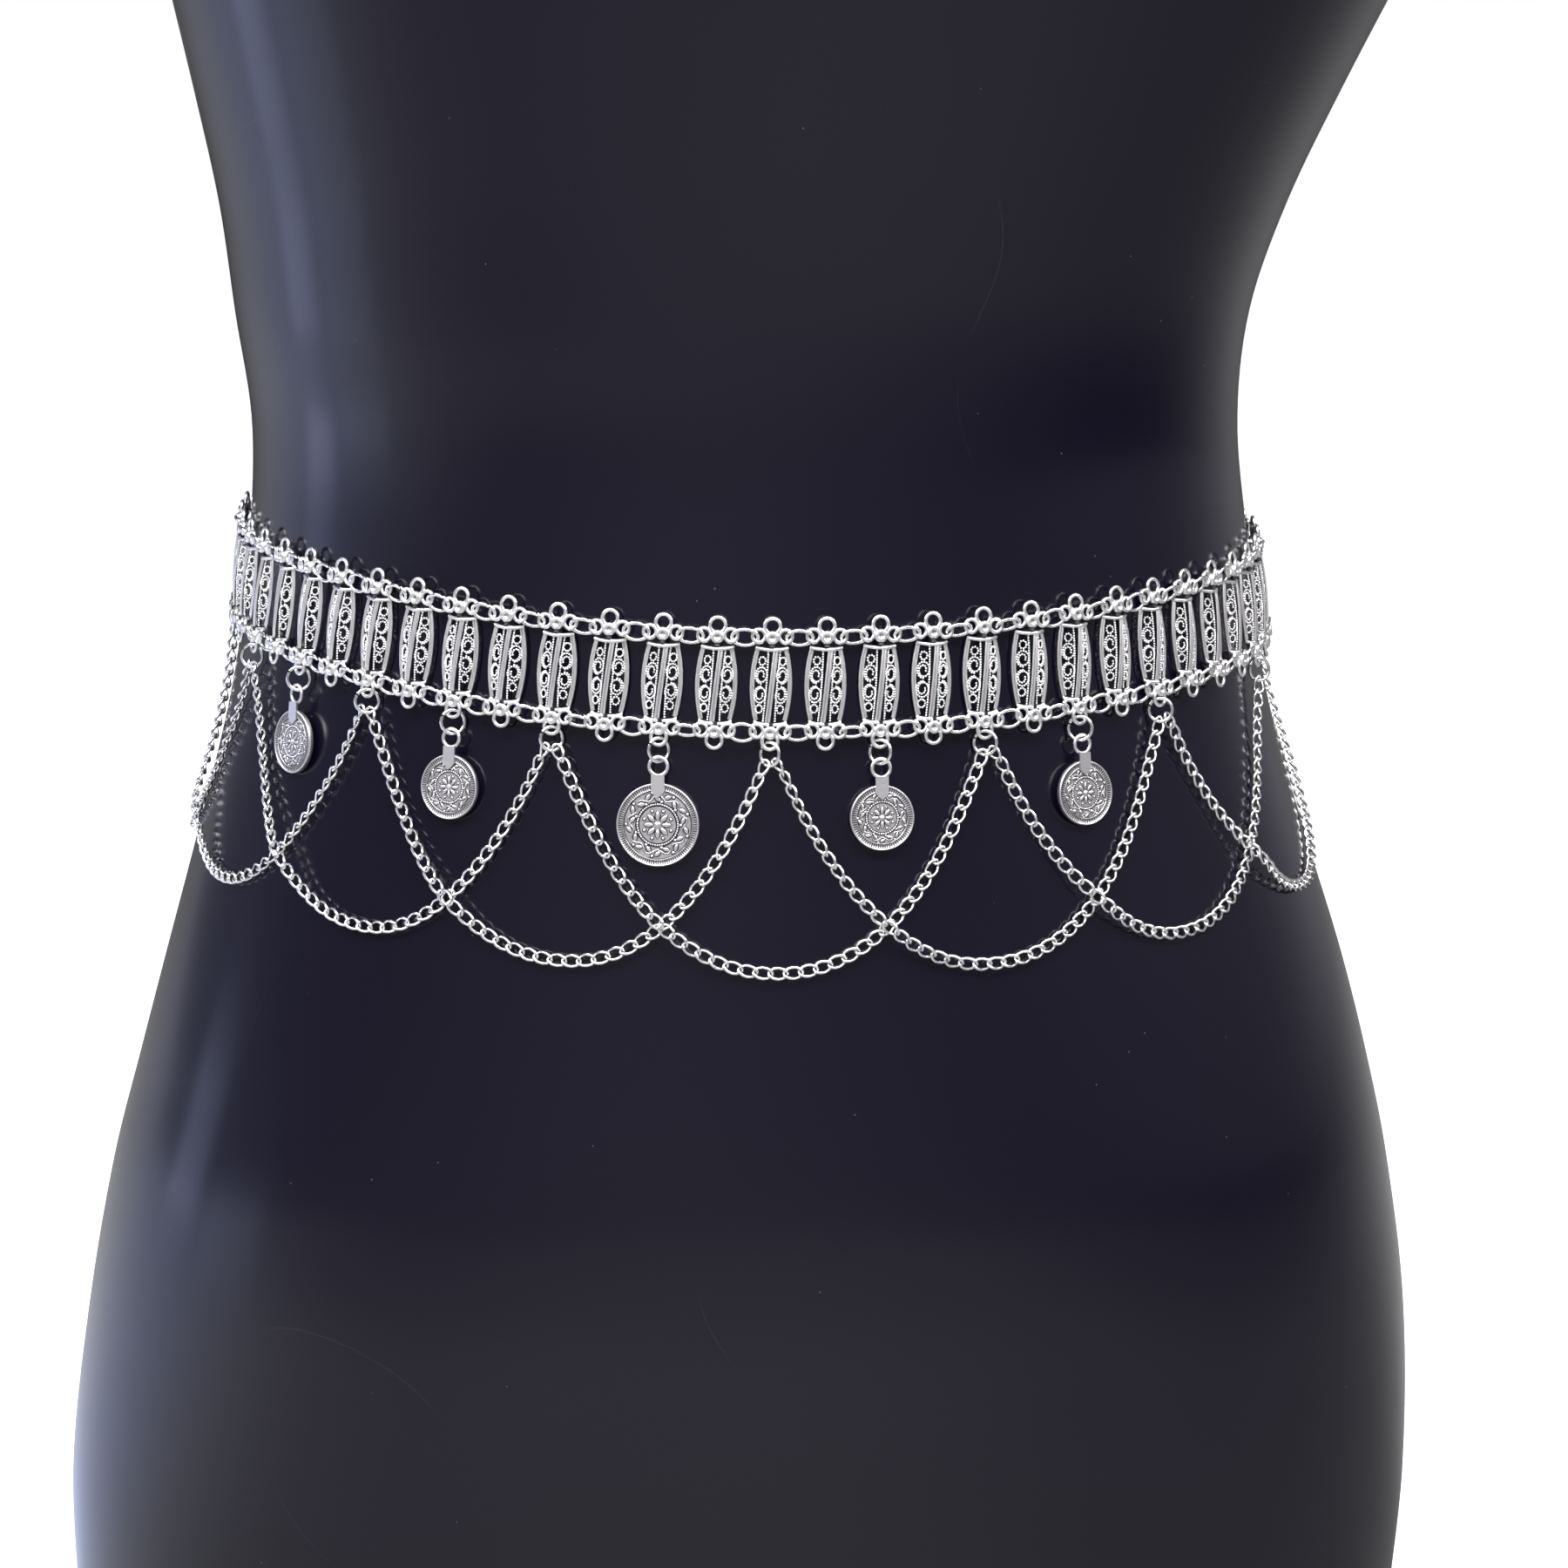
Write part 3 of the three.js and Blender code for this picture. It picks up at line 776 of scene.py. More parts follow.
def ring_frame(place):
    """The frame of a jump ring, turned one way left of the front and the other way right of it."""
    turn = JUMP_TURN if belt_angle(place) < 0 else -JUMP_TURN
    return hanging_frame(place, JUMP_DROP) @ Matrix.Rotation(turn, 4, "Z")


def hook_point(place, side):
    """Where the end link of a swag bears on the inside of a jump ring's wire."""
    angle = side * SWAG_END_ANGLE
    return ring_frame(place) @ (HOOKED * Vector((math.sin(angle), 0, -math.cos(angle))))


def rolled_ways(route, rolls):
    """The way that links face along a route: away from the form, rolled over near its ends."""
    (start_roll, start_reach), (end_roll, end_reach) = rolls
    ways = []
    for i, p in enumerate(route):
        u = i / (len(route) - 1)
        roll = start_roll * max(0, 1 - u / start_reach) ** 0.6
        roll += end_roll * max(0, 1 - (1 - u) / end_reach) ** 0.6
        along = route[min(i + 1, len(route) - 1)] - route[max(i - 1, 0)]
        turn = Quaternion(along.normalized(), math.radians(roll))
        ways.append(turn @ form_normal(angle_at(p), p.z))
    return ways


for number, (start, rolls) in enumerate(zip(SWAG_STARTS, SWAG_ROLLS), 1):
    route = [hook_point(start, 1), *swag_route(start)[1:-1], hook_point(start + SWAG_SPAN, -1)]
    route = smooth_line(route, PARTS_PER_STEP)
    swag = strung(
        f"swag_chain_{number:02d}",
        [route],
        rolled_ways(route, rolls),
        piece=link,
        pitch=LINK_PITCH * MM,
        end_room=LINK_HALF_LENGTH * MM,
        play=LINK_PLAY,
        seed=number,
        material=WIRE_SILVER,
    )
    dress(swag, "belt_and_form", "swag_chain", f"swag_{number:02d}")
    path = [tuple(p * MM) for p in route]
    length = line_length(route) * MM
    print(swag.name, round(1000 * length, 1), "mm,", count_triangles(swag), "triangles")

# %% [markdown]
# A plaque is an openwork casting, made once and repeated 57 times. Two leaves meet on a slanting
# ridge that stands proud. Each leaf holds a beaded double scroll and two beaded eyes between a
# thick outer rim and a beaded line. A head at each end carries a round boss and three rings. The
# lines are laid out as points, plain wires become tubes, and the bead tree strings the rest.

# %% Layout of a plaque
BAR_Z = 8.2
RIM_MIDDLE = 4.32
RIM_END = 3.2
RIM_WIRE = 0.37
RIM_Y = 1.35
RIDGE_Y = -0.85
RIDGE_END_RISE = 0.5
RIDGE_X = 0.12
RIDGE_SLANT = 0.094
RIB_WIRE = 0.3
RIB_HALF_GAP = 0.3


def rim_x(z):
    return RIM_END + (RIM_MIDDLE - RIM_END) * (1 - (z / BAR_Z) ** 2)


def ridge_x(z):
    return RIDGE_X + RIDGE_SLANT * z


def on_leaf(x, z):
    """The point of the folded leaves at x and z."""
    ridge = ridge_x(z)
    rim = rim_x(z)
    share = (x - ridge) / (rim - ridge) if x > ridge else (ridge - x) / (ridge + rim)
    top = RIDGE_Y + RIDGE_END_RISE * (z / BAR_Z) ** 2
    return Vector((x, top + min(share, 1) * (RIM_Y - top), z))


def leaf_line(x_at, low=-BAR_Z, high=BAR_Z, count=9):
    heights = [low + (high - low) * i / (count - 1) for i in range(count)]
    return [on_leaf(x_at(z), z) for z in heights]


# %% Wires of a plaque
INNER_LINE_WIRE = 0.24
INNER_LINE_INSET = 0.5
INNER_LINE_END = 7.6
BAR_WIRE = 0.42
BAR_OVERHANG = 0.3
BAR_SAG = 0.5
BAR_PROUD = 0.15


def plaque_wires(shape):
    for side in (-1, 1):
        shape.add(tube(leaf_line(lambda z: side * rim_x(z), count=13), RIM_WIRE))
        inset = leaf_line(lambda z: side * (rim_x(z) - INNER_LINE_INSET), -INNER_LINE_END, INNER_LINE_END)
        # the inner line sits lower than the rim and is painted a little darker, as painted shade
        shape.add(tube(inset, INNER_LINE_WIRE, 5), 0.8)
        rib = leaf_line(lambda z: ridge_x(z) + side * RIB_HALF_GAP)
        shape.add(tube(rib, RIB_WIRE), 0.95)
        bar = []
        for u in (-1, -0.6, -0.2, 0.2, 0.6, 1):
            at = on_leaf(u * rim_x(BAR_Z), side * BAR_Z)
            bar.append(at + Vector((BAR_OVERHANG * u, -BAR_PROUD, -BAR_SAG * (1 - u * u))))
        shape.add(tube(bar, BAR_WIRE))


# %% Beaded lines of a plaque
BEAD_RADIUS = 0.28
BEAD_PITCH = 0.56
WEDGE_NARROW = 0.98
WEDGE_WIDE = 1.63
WEDGE_END = 7.8
EYE_Z = 5.25
EYE_RADIUS = 0.72
EYE_STRETCH = 1.25
SCROLL_Z = 2.12
SCROLL_TURNS = 1.8
SCROLL_CURL = 0.42
SCROLL_WIDTH = 1.25
SCROLL_HEIGHT = 1.78
COLUMN_X = {-1: -2.27, 1: 2.25}
COLUMN_SLANT = {-1: 0.05, 1: 0.035}


def scroll(side, end):
    """One half of a leaf's S: a spiral from its eye out to the middle of the leaf."""
    points = []
    steps = 36
    for i in range(steps + 1):
        u = i / steps
        a = -math.pi / 2 * end + side * end * 2 * math.pi * SCROLL_TURNS * (1 - u)
        size = SCROLL_CURL + (1 - SCROLL_CURL) * min(1.0, 1.6 * u)
        z = end * SCROLL_Z + SCROLL_HEIGHT * size * math.sin(a)
        x = COLUMN_X[side] + COLUMN_SLANT[side] * z + SCROLL_WIDTH * size * math.cos(a)
        points.append(on_leaf(x, z))
    return points


def eye(side, end):
    points = []
    for i in range(13):
        a = 2 * math.pi * i / 12
        z = end * EYE_Z + EYE_STRETCH * EYE_RADIUS * math.sin(a)
        x = COLUMN_X[side] + COLUMN_SLANT[side] * z + EYE_RADIUS * math.cos(a)
        points.append(on_leaf(x, z))
    return points


def beside_ridge(side):
    """The beaded line along the ridge, which leaves a wedge open at one end."""
    def x_at(z):
        share = (side * -z + BAR_Z) / (2 * BAR_Z)
        return ridge_x(z) + side * (WEDGE_NARROW + (WEDGE_WIDE - WEDGE_NARROW) * share**2)
    return leaf_line(x_at, -WEDGE_END, WEDGE_END)


bead_lines = [beside_ridge(side) for side in (-1, 1)]
bead_lines += [eye(side, end) for side in (-1, 1) for end in (-1, 1)]
bead_lines += [scroll(side, end) for side in (-1, 1) for end in (-1, 1)]
print("beaded lines:", len(bead_lines), "about", round(sum(map(line_length, bead_lines))), "mm")

# %% Heads of a plaque
HEAD_Z = 10.4
TOP_RING_Z = 12.9
TOP_RING_RADIUS = 1.74
SIDE_RING_X = 2.95
SIDE_RING_RADIUS = 1.45
SIDE_RING_LIFT = 0.35
HEAD_WIRE = 0.45
NECK_RADIUS = 0.7
NECK_TOP_Z = 9.6
NECK_PROUD = 0.2
BOSS_PROFILE = [
    # radius, y
    (0, -0.62),
    (0.42, -0.66),
    (0.58, -1.0),
    (1.0, -1.18),
    (1.38, -0.92),
    (1.52, -0.45),
    (1.45, 0.4),
    (0, 0.4),
]
# the dimple and the back of the boss are painted darker, as painted shade
BOSS_POLISH_AND_SHADE = [0.45, 0.4, 0.8, 1.0, 1.0, 0.7, 0.2, 0.2]


def upright_circle(radius, count, centre=Vector((0, 0, 0))):
    return [centre + polar(radius, a, 0) for a in turns(count)]


def plaque_heads(shape):
    segments = 14
    boss = turned_profile(BOSS_PROFILE, segments)
    shade = [BOSS_POLISH_AND_SHADE[0]]
    for polish_and_shade in BOSS_POLISH_AND_SHADE[1:-1]:
        shade += [polish_and_shade] * segments
    shade.append(BOSS_POLISH_AND_SHADE[-1])
    for end, tip_z in ((1, TOP_RING_Z), (-1, -TIP_RING_Z)):
        shape.add(boss, shade, Matrix.Translation((0, 0, end * HEAD_Z)))
        tip = upright_circle(TOP_RING_RADIUS, 16, Vector((0, 0, tip_z)))
        shape.add(tube(tip, HEAD_WIRE, 7, closed=True))
        neck = [Vector((0, -NECK_PROUD, end * BAR_Z)), Vector((0, 0, end * NECK_TOP_Z))]
        # the neck under the boss is painted dark, as painted shade
        shape.add(tube(neck, NECK_RADIUS, 8), 0.2)
        for side in (-1, 1):
            centre = Vector((side * SIDE_RING_X, 0, end * HEAD_Z + SIDE_RING_LIFT))
            ring = upright_circle(SIDE_RING_RADIUS, 14, centre)
            shape.add(tube(ring, HEAD_WIRE, 6, closed=True))


# %% One plaque
def bead_object():
    bpy.ops.mesh.primitive_ico_sphere_add(subdivisions=1, radius=BEAD_RADIUS * MM)
    made = bpy.context.object
    made.name = "bead"
    made.data.shade_smooth()
    layer = made.data.attributes.new("polish_and_shade", "FLOAT", "POINT")
    layer.data.foreach_set("value", [0.9] * len(made.data.vertices))
    return made


def joined(name, objects):
    """Several mesh objects as one, in the first one's place."""
    gathered = bmesh.new()
    for made in objects:
        gathered.from_mesh(made.data)
    mesh = bpy.data.meshes.new(name)
    gathered.to_mesh(mesh)
    gathered.free()
    for made in objects:
        bpy.data.objects.remove(made)
    return added(name, mesh)


wires = Shape()
plaque_wires(wires)
plaque_heads(wires)
bead = bead_object()
outward = [Vector((0, -1, 0))] * sum(map(len, bead_lines))
beads = strung("plaque_beads", bead_lines, outward, piece=bead, pitch=BEAD_PITCH * MM)
plaque = joined("plaque", [wires.to_object("plaque_wires"), beads])
plaque.data.materials.clear()
print("a plaque has", count_triangles(plaque), "triangles")

# %% [markdown]
# The plaques stand in runs of three, as the solids do, so each run takes the place of one solid.

# %% The runs of plaques
FIRST_PLAQUE = -30
PLAQUES_PER_RUN = 3
RUN_COUNT = 19
plaque_total = 0
for number in range(1, RUN_COUNT + 1):
    first = FIRST_PLAQUE + (number - 1) * PLAQUES_PER_RUN
    frames = [belt_frame(first + i) for i in range(PLAQUES_PER_RUN)]
    piece = stood(f"plaques_{number:02d}", frames, piece=plaque, material=CAST_SILVER)
    dress(piece, "belt_and_form", "plaques", f"plaque_run_{number:02d}")
    plaque_total += count_triangles(piece)
print("plaques:", plaque_total, "triangles")

# %% [markdown]
# Oval links join the side rings of neighbouring plaques. Each is bent from wire, and its two cut ends
# pass each other a little. A link has to pass through flat rings, so one long side lies in front of
# them and the other behind, and each link sits a little differently.

# %% Links of the belt
OVAL_HALF_LENGTH = 2.88
OVAL_HALF_HEIGHT = 1.92
OVAL_WIRE = 0.42
OVAL_CUT_AT = math.radians(58)
OVAL_OVERLAP = 0.006
OVAL_END_TAPER = 0.6
OVAL_SHIFT = 0.34
OVAL_TILT = math.radians(30)
OVAL_PLAY = math.radians(24)
LAST_PLAQUE = FIRST_PLAQUE + RUN_COUNT * PLAQUES_PER_RUN - 1


def oval_link():
    """An oval of wire whose two cut ends pass each other a little on one long side."""
    count = 20
    points = []
    for i in range(count + 1):
        u = i / count
        a = OVAL_CUT_AT + 2 * math.pi * (u + OVAL_OVERLAP * (2 * u - 1))
        lift = OVAL_SHIFT * (2 * u - 1) * abs(2 * u - 1) ** 8
        points.append(Vector((OVAL_HALF_LENGTH * math.cos(a), lift, OVAL_HALF_HEIGHT * math.sin(a))))
    radii = [OVAL_WIRE] * (count + 1)
    radii[0] = radii[-1] = OVAL_WIRE * OVAL_END_TAPER
    shape = Shape()
    shape.add(tube(points, radii, 7))
    return shape.to_object("oval_link")


def link_frame(place, z):
    tilt = Matrix.Rotation(OVAL_TILT, 4, "X")
    turn = Matrix.Rotation(-belt_slope(place), 4, "Y")
    return belt_frame(place) @ Matrix.Translation((0, 0, z)) @ turn @ tilt


oval_template = oval_link()
belt_places = [FIRST_PLAQUE + i + 0.5 for i in range(LAST_PLAQUE - FIRST_PLAQUE)]
link_frames = [link_frame(place, z) for place in belt_places for z in (HEAD_Z, -HEAD_Z)]
oval_inputs = {"piece": oval_template, "play": OVAL_PLAY, "seed": 4, "material": WIRE_SILVER}
belt_links = stood("belt_links", link_frames, **oval_inputs)
dress(belt_links, "belt_and_form", "rings_and_clasp")
print("belt links:", len(link_frames), "with", count_triangles(belt_links), "triangles")

# %% [markdown]
# Jump rings hang from the lower tip rings. The real ones are cut from a coil of wire, so each has a
# small gap where its ends meet. Ten of them carry the swags and five carry the coins.

# %% Jump rings
SWAG_RING_PLACES = [-20, -16, -12, -8, -4, 0, 4, 8, 12, 16]
RING_CUT_AT = math.radians(-62)
RING_CUT = math.radians(4)


def cut_ring(radius, wire, name):
    """A round ring in the x-z plane with a small gap."""
    points = []
    count = 24
    for i in range(count + 1):
        a = RING_CUT_AT + RING_CUT + (2 * math.pi - 2 * RING_CUT) * i / count
        points.append(polar(radius, a, 0))
    shape = Shape()
    shape.add(tube(points, wire, 8))
    return shape.to_object(name)


ring_template = cut_ring(JUMP_RADIUS, JUMP_WIRE, "ring_template")
ring_inputs = {"piece": ring_template, "material": WIRE_SILVER}
swag_rings = stood("swag_rings", [ring_frame(place) for place in SWAG_RING_PLACES], **ring_inputs)
swag_ring_nodes = [f"swag_ring_{i:02d}" for i in range(1, len(SWAG_RING_PLACES) + 1)]
dress(swag_rings, "belt_and_form", "rings_and_clasp", *swag_ring_nodes)

# %% [markdown]
# A coin is a struck disc: a plain rim, a reeded band, a band of ornament, a ring of dots and a
# flower in the middle. The ornament is a plain vine of our own. The disc is a grid in rings and
# spokes, and the relief is laid on it as wires, leaves and dots, with dark patches of painted shade
# round the relief and dark grooves of painted shade in the disc. A flat tab with a pointed end laps
# the face and carries the bail.

# %% The disc of a coin
COINS = [(-10, 7.2), (-6, 7.2), (-2, 9.15), (2, 7.2), (6, 7.2)]
COIN_HALF_THICKNESS = 0.65
COIN_RECESS = 0.25
RIM_WIDTH = 0.3
REED_WIDTH = 1.15
REED_SPACING = 0.25
REED_DEPTH = 0.2
LARGE_RADIUS = 9.15


def coin_disc(radius):
    """Vertices, faces and the polish and painted shade of a disc whose face looks to -y."""
    size = radius / LARGE_RADIUS
    face = -COIN_HALF_THICKNESS
    field = face + COIN_RECESS
    outer = radius - RIM_WIDTH
    inner = outer - REED_WIDTH
    rings = [
        # radius, y, polish and painted shade, and whether reeds cut into it
        (radius * 0.5, -face, 0.7, False),
        (radius - 0.2, -face, 0.8, False),
        (radius, -face - 0.2, 1.0, False),
        (radius, face + 0.2, 1.0, False),
        (radius - 0.12, face, 1.0, False),
        (outer, face, 1.0, False),
        (outer - 0.06, face + 0.03, 0.8, True),
        (inner + 0.06, face + 0.03, 0.8, True),
        (inner, face + 0.06, 0.8, False),
        # the groove inside the reeded band is painted dark, as painted shade
        (inner - 0.15, field, 0.15, False),
        (inner - 0.5, field, 0.6, False),
        (inner * 0.8, field, 0.6, False),
        (5.05 * size, field, 0.6, False),
        # the dark band under the ring of dots is painted shade
        (4.85 * size, field, 0.0, False),
        (4.15 * size, field, 0.0, False),
        (3.95 * size, field, 0.6, False),
        (inner * 0.3, field, 0.6, False),
    ]
    spokes = 2 * round(math.pi * (outer + inner) / 2 / REED_SPACING)
    vertices = [Vector((0, -face, 0))]
    polish_and_shade = [0.7]
    for r, y, shade, reeded in rings:
        for k, a in enumerate(turns(spokes)):
            # the grooves between the reeds are painted dark, as painted shade
            low = reeded and k % 2
            vertices.append(polar(r, a, y + REED_DEPTH if low else y))
            polish_and_shade.append(0.05 if low else shade)
    vertices.append(Vector((0, field, 0)))
    polish_and_shade.append(0.65)
    faces = [tuple(reversed(face)) for face in banded_faces(len(rings), spokes)]
    return (vertices, faces), polish_and_shade


# %% The relief of a coin
# sizes are those of the large coin, and the small coins have them in proportion
VINE_CIRCLE = 6.05
VINE_SWING = 0.62
VINE_WAVES = 9
VINE_WIRE = 0.14
VINE_SHADE_WIRE = 0.33
LEAF_LEAN = math.radians(55)
DOT_CIRCLE = 4.5
PETALS = 8
PETAL_CIRCLE = 2.0
PETAL_BUD_CIRCLE = 3.2
# the dots are as far apart on every coin
DOT_SPACING = 0.52
BAIL_DROP = 19.0
BAIL_RADIUS = 2.05
BAIL_WIRE = 0.42
COIN_TOP_BELOW_BAIL = 3.7
COIN_TILT = math.radians(3.5)
TAB_HALF_WIDTH = 1.46
TAB_LENGTH = 5.2
TAB_PROUD = 0.35
TAB_SUNK = 0.1
TAB_LAP = 0.25


def leaf_part(length, width, height):
    """A low almond-shaped leaf along z, rounded towards -y."""
    outline = []
    count = 5
    for side in (1, -1):
        for i in range(count):
            u = i / count if side == 1 else 1 - i / count
            x = side * width / 2 * math.sin(math.pi * u) ** 0.8
            outline.append(Vector((x, 0, length * (u - 0.5))))
    middle = [Vector((0, -height, length * (u - 0.5))) for u in (0.3, 0.7)]
    vertices = outline + middle
    total = len(outline)
    faces = []
    for i in range(total):
        j = (i + 1) % total
        ends = [total if vertices[k].z < 0 else total + 1 for k in (i, j)]
        if ends[0] == ends[1]:
            faces.append((i, j, ends[0]))
        else:
            faces.append((i, j, ends[1], ends[0]))
    faces.append(tuple(reversed(range(total))))
    return vertices, faces


def relief_with_painted_shade(shape, part, shade_patch, at):
    """A raised part with a wider dark patch of painted shade round it."""
    shape.add(shade_patch, 0.0, at)
    shape.add(part, 1.0, at)


def coin_relief(shape, radius):
    size = radius / LARGE_RADIUS
    ground = -COIN_HALF_THICKNESS + COIN_RECESS
    middle = VINE_CIRCLE * size
    swing = VINE_SWING * size
    line = turns(VINE_WAVES * 8)
    vine = [polar(middle + swing * math.cos(VINE_WAVES * a), a, ground - 0.02) for a in line]
    # a wider dark tube just under the vine is painted shade round it
    vine_shade_line = [p + Vector((0, 0.25 * size, 0)) for p in vine]
    shape.add(tube(vine_shade_line, VINE_SHADE_WIRE * size, 8, closed=True), 0.0)
    shape.add(tube(vine, VINE_WIRE * size, 5, closed=True), 1.0)
    # each leaf, bud and petal gets a wider dark copy under it as painted shade
    leaf = leaf_part(1.9 * size, 0.85 * size, 0.22)
    leaf_shade_patch = leaf_part(2.3 * size, 1.35 * size, 0.035)
    bud = turned_profile([(0, -0.22), (0.2 * size, -0.17), (0.34 * size, 0), (0, 0.05)], 7)
    bud_shade_patch = turned_profile([(0, -0.03), (0.5 * size, -0.03), (0.52 * size, 0), (0, 0.05)], 7)
    for i, a in enumerate(turns(2 * VINE_WAVES)):
        inner = i % 2
        r = middle + (swing if inner else -swing) * 0.55
        lean = Matrix.Rotation(a, 4, "Y") @ Matrix.Translation((0, ground, r))
        lean = lean @ Matrix.Rotation(LEAF_LEAN if inner else -LEAF_LEAN, 4, "Y")
        relief_with_painted_shade(shape, leaf, leaf_shade_patch, lean)
        b = a + 0.5 * math.pi / VINE_WAVES
        spot = Matrix.Translation(polar(middle + (0.95 if inner else -0.95) * size, b, ground))
        relief_with_painted_shade(shape, bud, bud_shade_patch, spot)
    dots = round(2 * math.pi * DOT_CIRCLE * size / DOT_SPACING)
    dot = turned_profile([(0, -0.2), (0.17, -0.14), (0.24, 0), (0, 0.05)], 6)
    for a in turns(dots):
        shape.add(dot, 0.95, Matrix.Translation(polar(DOT_CIRCLE * size, a, ground)))
    petal = leaf_part(2.3 * size, 1.0 * size, 0.26)
    petal_shade_patch = leaf_part(2.6 * size, 1.5 * size, 0.035)
    for a in turns(PETALS):
        turn = Matrix.Rotation(a, 4, "Y") @ Matrix.Translation((0, ground, PETAL_CIRCLE * size))
        relief_with_painted_shade(shape, petal, petal_shade_patch, turn)
        spot = Matrix.Translation(polar(PETAL_BUD_CIRCLE * size, a + math.pi / PETALS, ground))
        relief_with_painted_shade(shape, bud, bud_shade_patch, spot)
    heart = turned_profile([(0, -0.4), (0.45 * size, -0.32), (0.75 * size, 0), (0, 0.05)], 14)
    shape.add(heart, 1.0, Matrix.Translation((0, ground, 0)))


# %% Tab and bail
def tab_part():
    """A flat strip under the bail with a pointed end, sunk a little into the coin's face."""
    front = -COIN_HALF_THICKNESS - TAB_PROUD
    back = -COIN_HALF_THICKNESS + TAB_SUNK
    top = -BAIL_RADIUS + TAB_LAP
    shoulder = top - TAB_LENGTH + TAB_HALF_WIDTH
    outline = [
        (-TAB_HALF_WIDTH, top),
        (-TAB_HALF_WIDTH, shoulder),
        (0, top - TAB_LENGTH),
        (TAB_HALF_WIDTH, shoulder),
        (TAB_HALF_WIDTH, top),
    ]
    vertices = [Vector((x, y, z)) for y in (back, front) for x, z in outline]
    sides = len(outline)
    faces = [tuple(range(sides)), tuple(reversed(range(sides, 2 * sides)))]
    for i in range(sides):
        j = (i + 1) % sides
        faces.append((j, i, sides + i, sides + j))
    return vertices, faces


# %% The coins
def coin_object(name, radius):
    shape = Shape()
    down = Matrix.Translation((0, 0, -COIN_TOP_BELOW_BAIL - radius))
    disc, shade = coin_disc(radius)
    shape.add(disc, shade, down)
    relief = Shape()
    coin_relief(relief, radius)
    shape.add((relief.vertices, relief.faces), relief.polish_and_shade, down)
    shape.add(tab_part(), 0.95)
    bail = upright_circle(BAIL_RADIUS, 22)
    shape.add(tube(bail, BAIL_WIRE, 8, closed=True), 1.0)
    return shape.to_object(name)


def place_mesh(made, at):
    """Puts a mesh in its place, given in millimetres, and leaves the object at the origin."""
    scale = Matrix.Scale(MM, 4)
    made.data.transform(scale @ at @ scale.inverted())
    made.data.update()


for number, (place, radius) in enumerate(COINS, 1):
    body = f"coin_{number}"
    coin = coin_object(f"struck_coin_{number}", radius)
    tilt = Matrix.Rotation(COIN_TILT, 4, "X")
    place_mesh(coin, hanging_frame(place, BAIL_DROP) @ tilt)
    coin.data.materials.append(COIN_SILVER)
    dress(coin, body, "coins", f"coin_{number:02d}")
    ring = stood(f"coin_jump_ring_{number}", [ring_frame(place)], **ring_inputs)
    dress(ring, body, "rings_and_clasp", f"coin_ring_{number:02d}")
    print(coin.name, count_triangles(coin), "triangles")

# %% [markdown]
# The form is one smooth shell of oval rings, closed at both ends with a rounded edge, as a moulded
# form has. The photograph doesn't show its ends, so they stay plain.

# %% The form
FORM_SIDES = 192
FORM_ROWS = 110
FORM_FILLET = 3.0
FILLET_STEPS = 5


def form_rows():
    """Heights and insets of the rings, from the middle of the base to the middle of the top."""
    rows = [(0.0, share, 0.0) for share in (0.02, 0.5, 0.9)]
    for i in range(FILLET_STEPS + 1):
        a = math.pi / 2 * i / FILLET_STEPS
        rows.append((FORM_FILLET * (1 - math.cos(a)), 1.0, FORM_FILLET * (1 - math.sin(a))))
    for i in range(1, FORM_ROWS):
        rows.append((FORM_FILLET + (FORM_HEIGHT - 2 * FORM_FILLET) * i / FORM_ROWS, 1.0, 0.0))
    lower = rows[: FILLET_STEPS + 4]
    return rows + [(FORM_HEIGHT - z, share, inset) for z, share, inset in reversed(lower)]


def form_object():
    rows = form_rows()
    vertices = []
    for z, share, inset in rows:
        middle = Vector((form_size(z, MIDDLE), 0, z))
        for a in turns(FORM_SIDES):
            reach = form_point(a, z) - middle
            vertices.append(middle + share * (1 - inset / reach.length) * reach)
    faces = [tuple(reversed(range(FORM_SIDES)))]
    for row in range(len(rows) - 1):
        for k in range(FORM_SIDES):
            a = row * FORM_SIDES + k
            b = row * FORM_SIDES + (k + 1) % FORM_SIDES
            faces.append((a, b, b + FORM_SIDES, a + FORM_SIDES))
    faces.append(tuple(range((len(rows) - 1) * FORM_SIDES, len(rows) * FORM_SIDES)))
    shape = Shape()
    shape.add((vertices, faces))
    return shape.to_object("display_form")


form = form_object()
form.data.materials.append(BLACK_GLOSS)
dress(form, "belt_and_form", "form", "form")
print("form:", count_triangles(form), "triangles")

# %% [markdown]
# The clasp is at the back, where the photograph doesn't look, so it is a plain lobster clasp of the
# usual kind: a V of wire at each end of the belt, a closed ring, and the claw between them.

# %% The clasp
END_BAIL_REACH = 14.2
END_BAIL_WIRE = 0.5
CLASP_RING_RADIUS = 3.1
CLASP_RING_WIRE = 0.55
# the clasp's places leave room for the thicker wire that the solids have
SOLID_WIRE = 0.6
SIDE_RING_REACH = 4.2
CLAW_HALF_HEIGHT = 2.1
CLAW_WIRE = 0.62
CLAW_SWELL = 0.25
CLAW_NARROWING = 0.35
CLAW_GAP_ANGLE = 16
LEVER_WIRE = 0.45
NEXT_PLAQUE = FIRST_PLAQUE + PITCHES_ROUND


def clasp_piece(shape, name, node):
    made = shape.to_object(name)
    made.data.materials.append(WIRE_SILVER)
    dress(made, "belt_and_form", "rings_and_clasp", node)


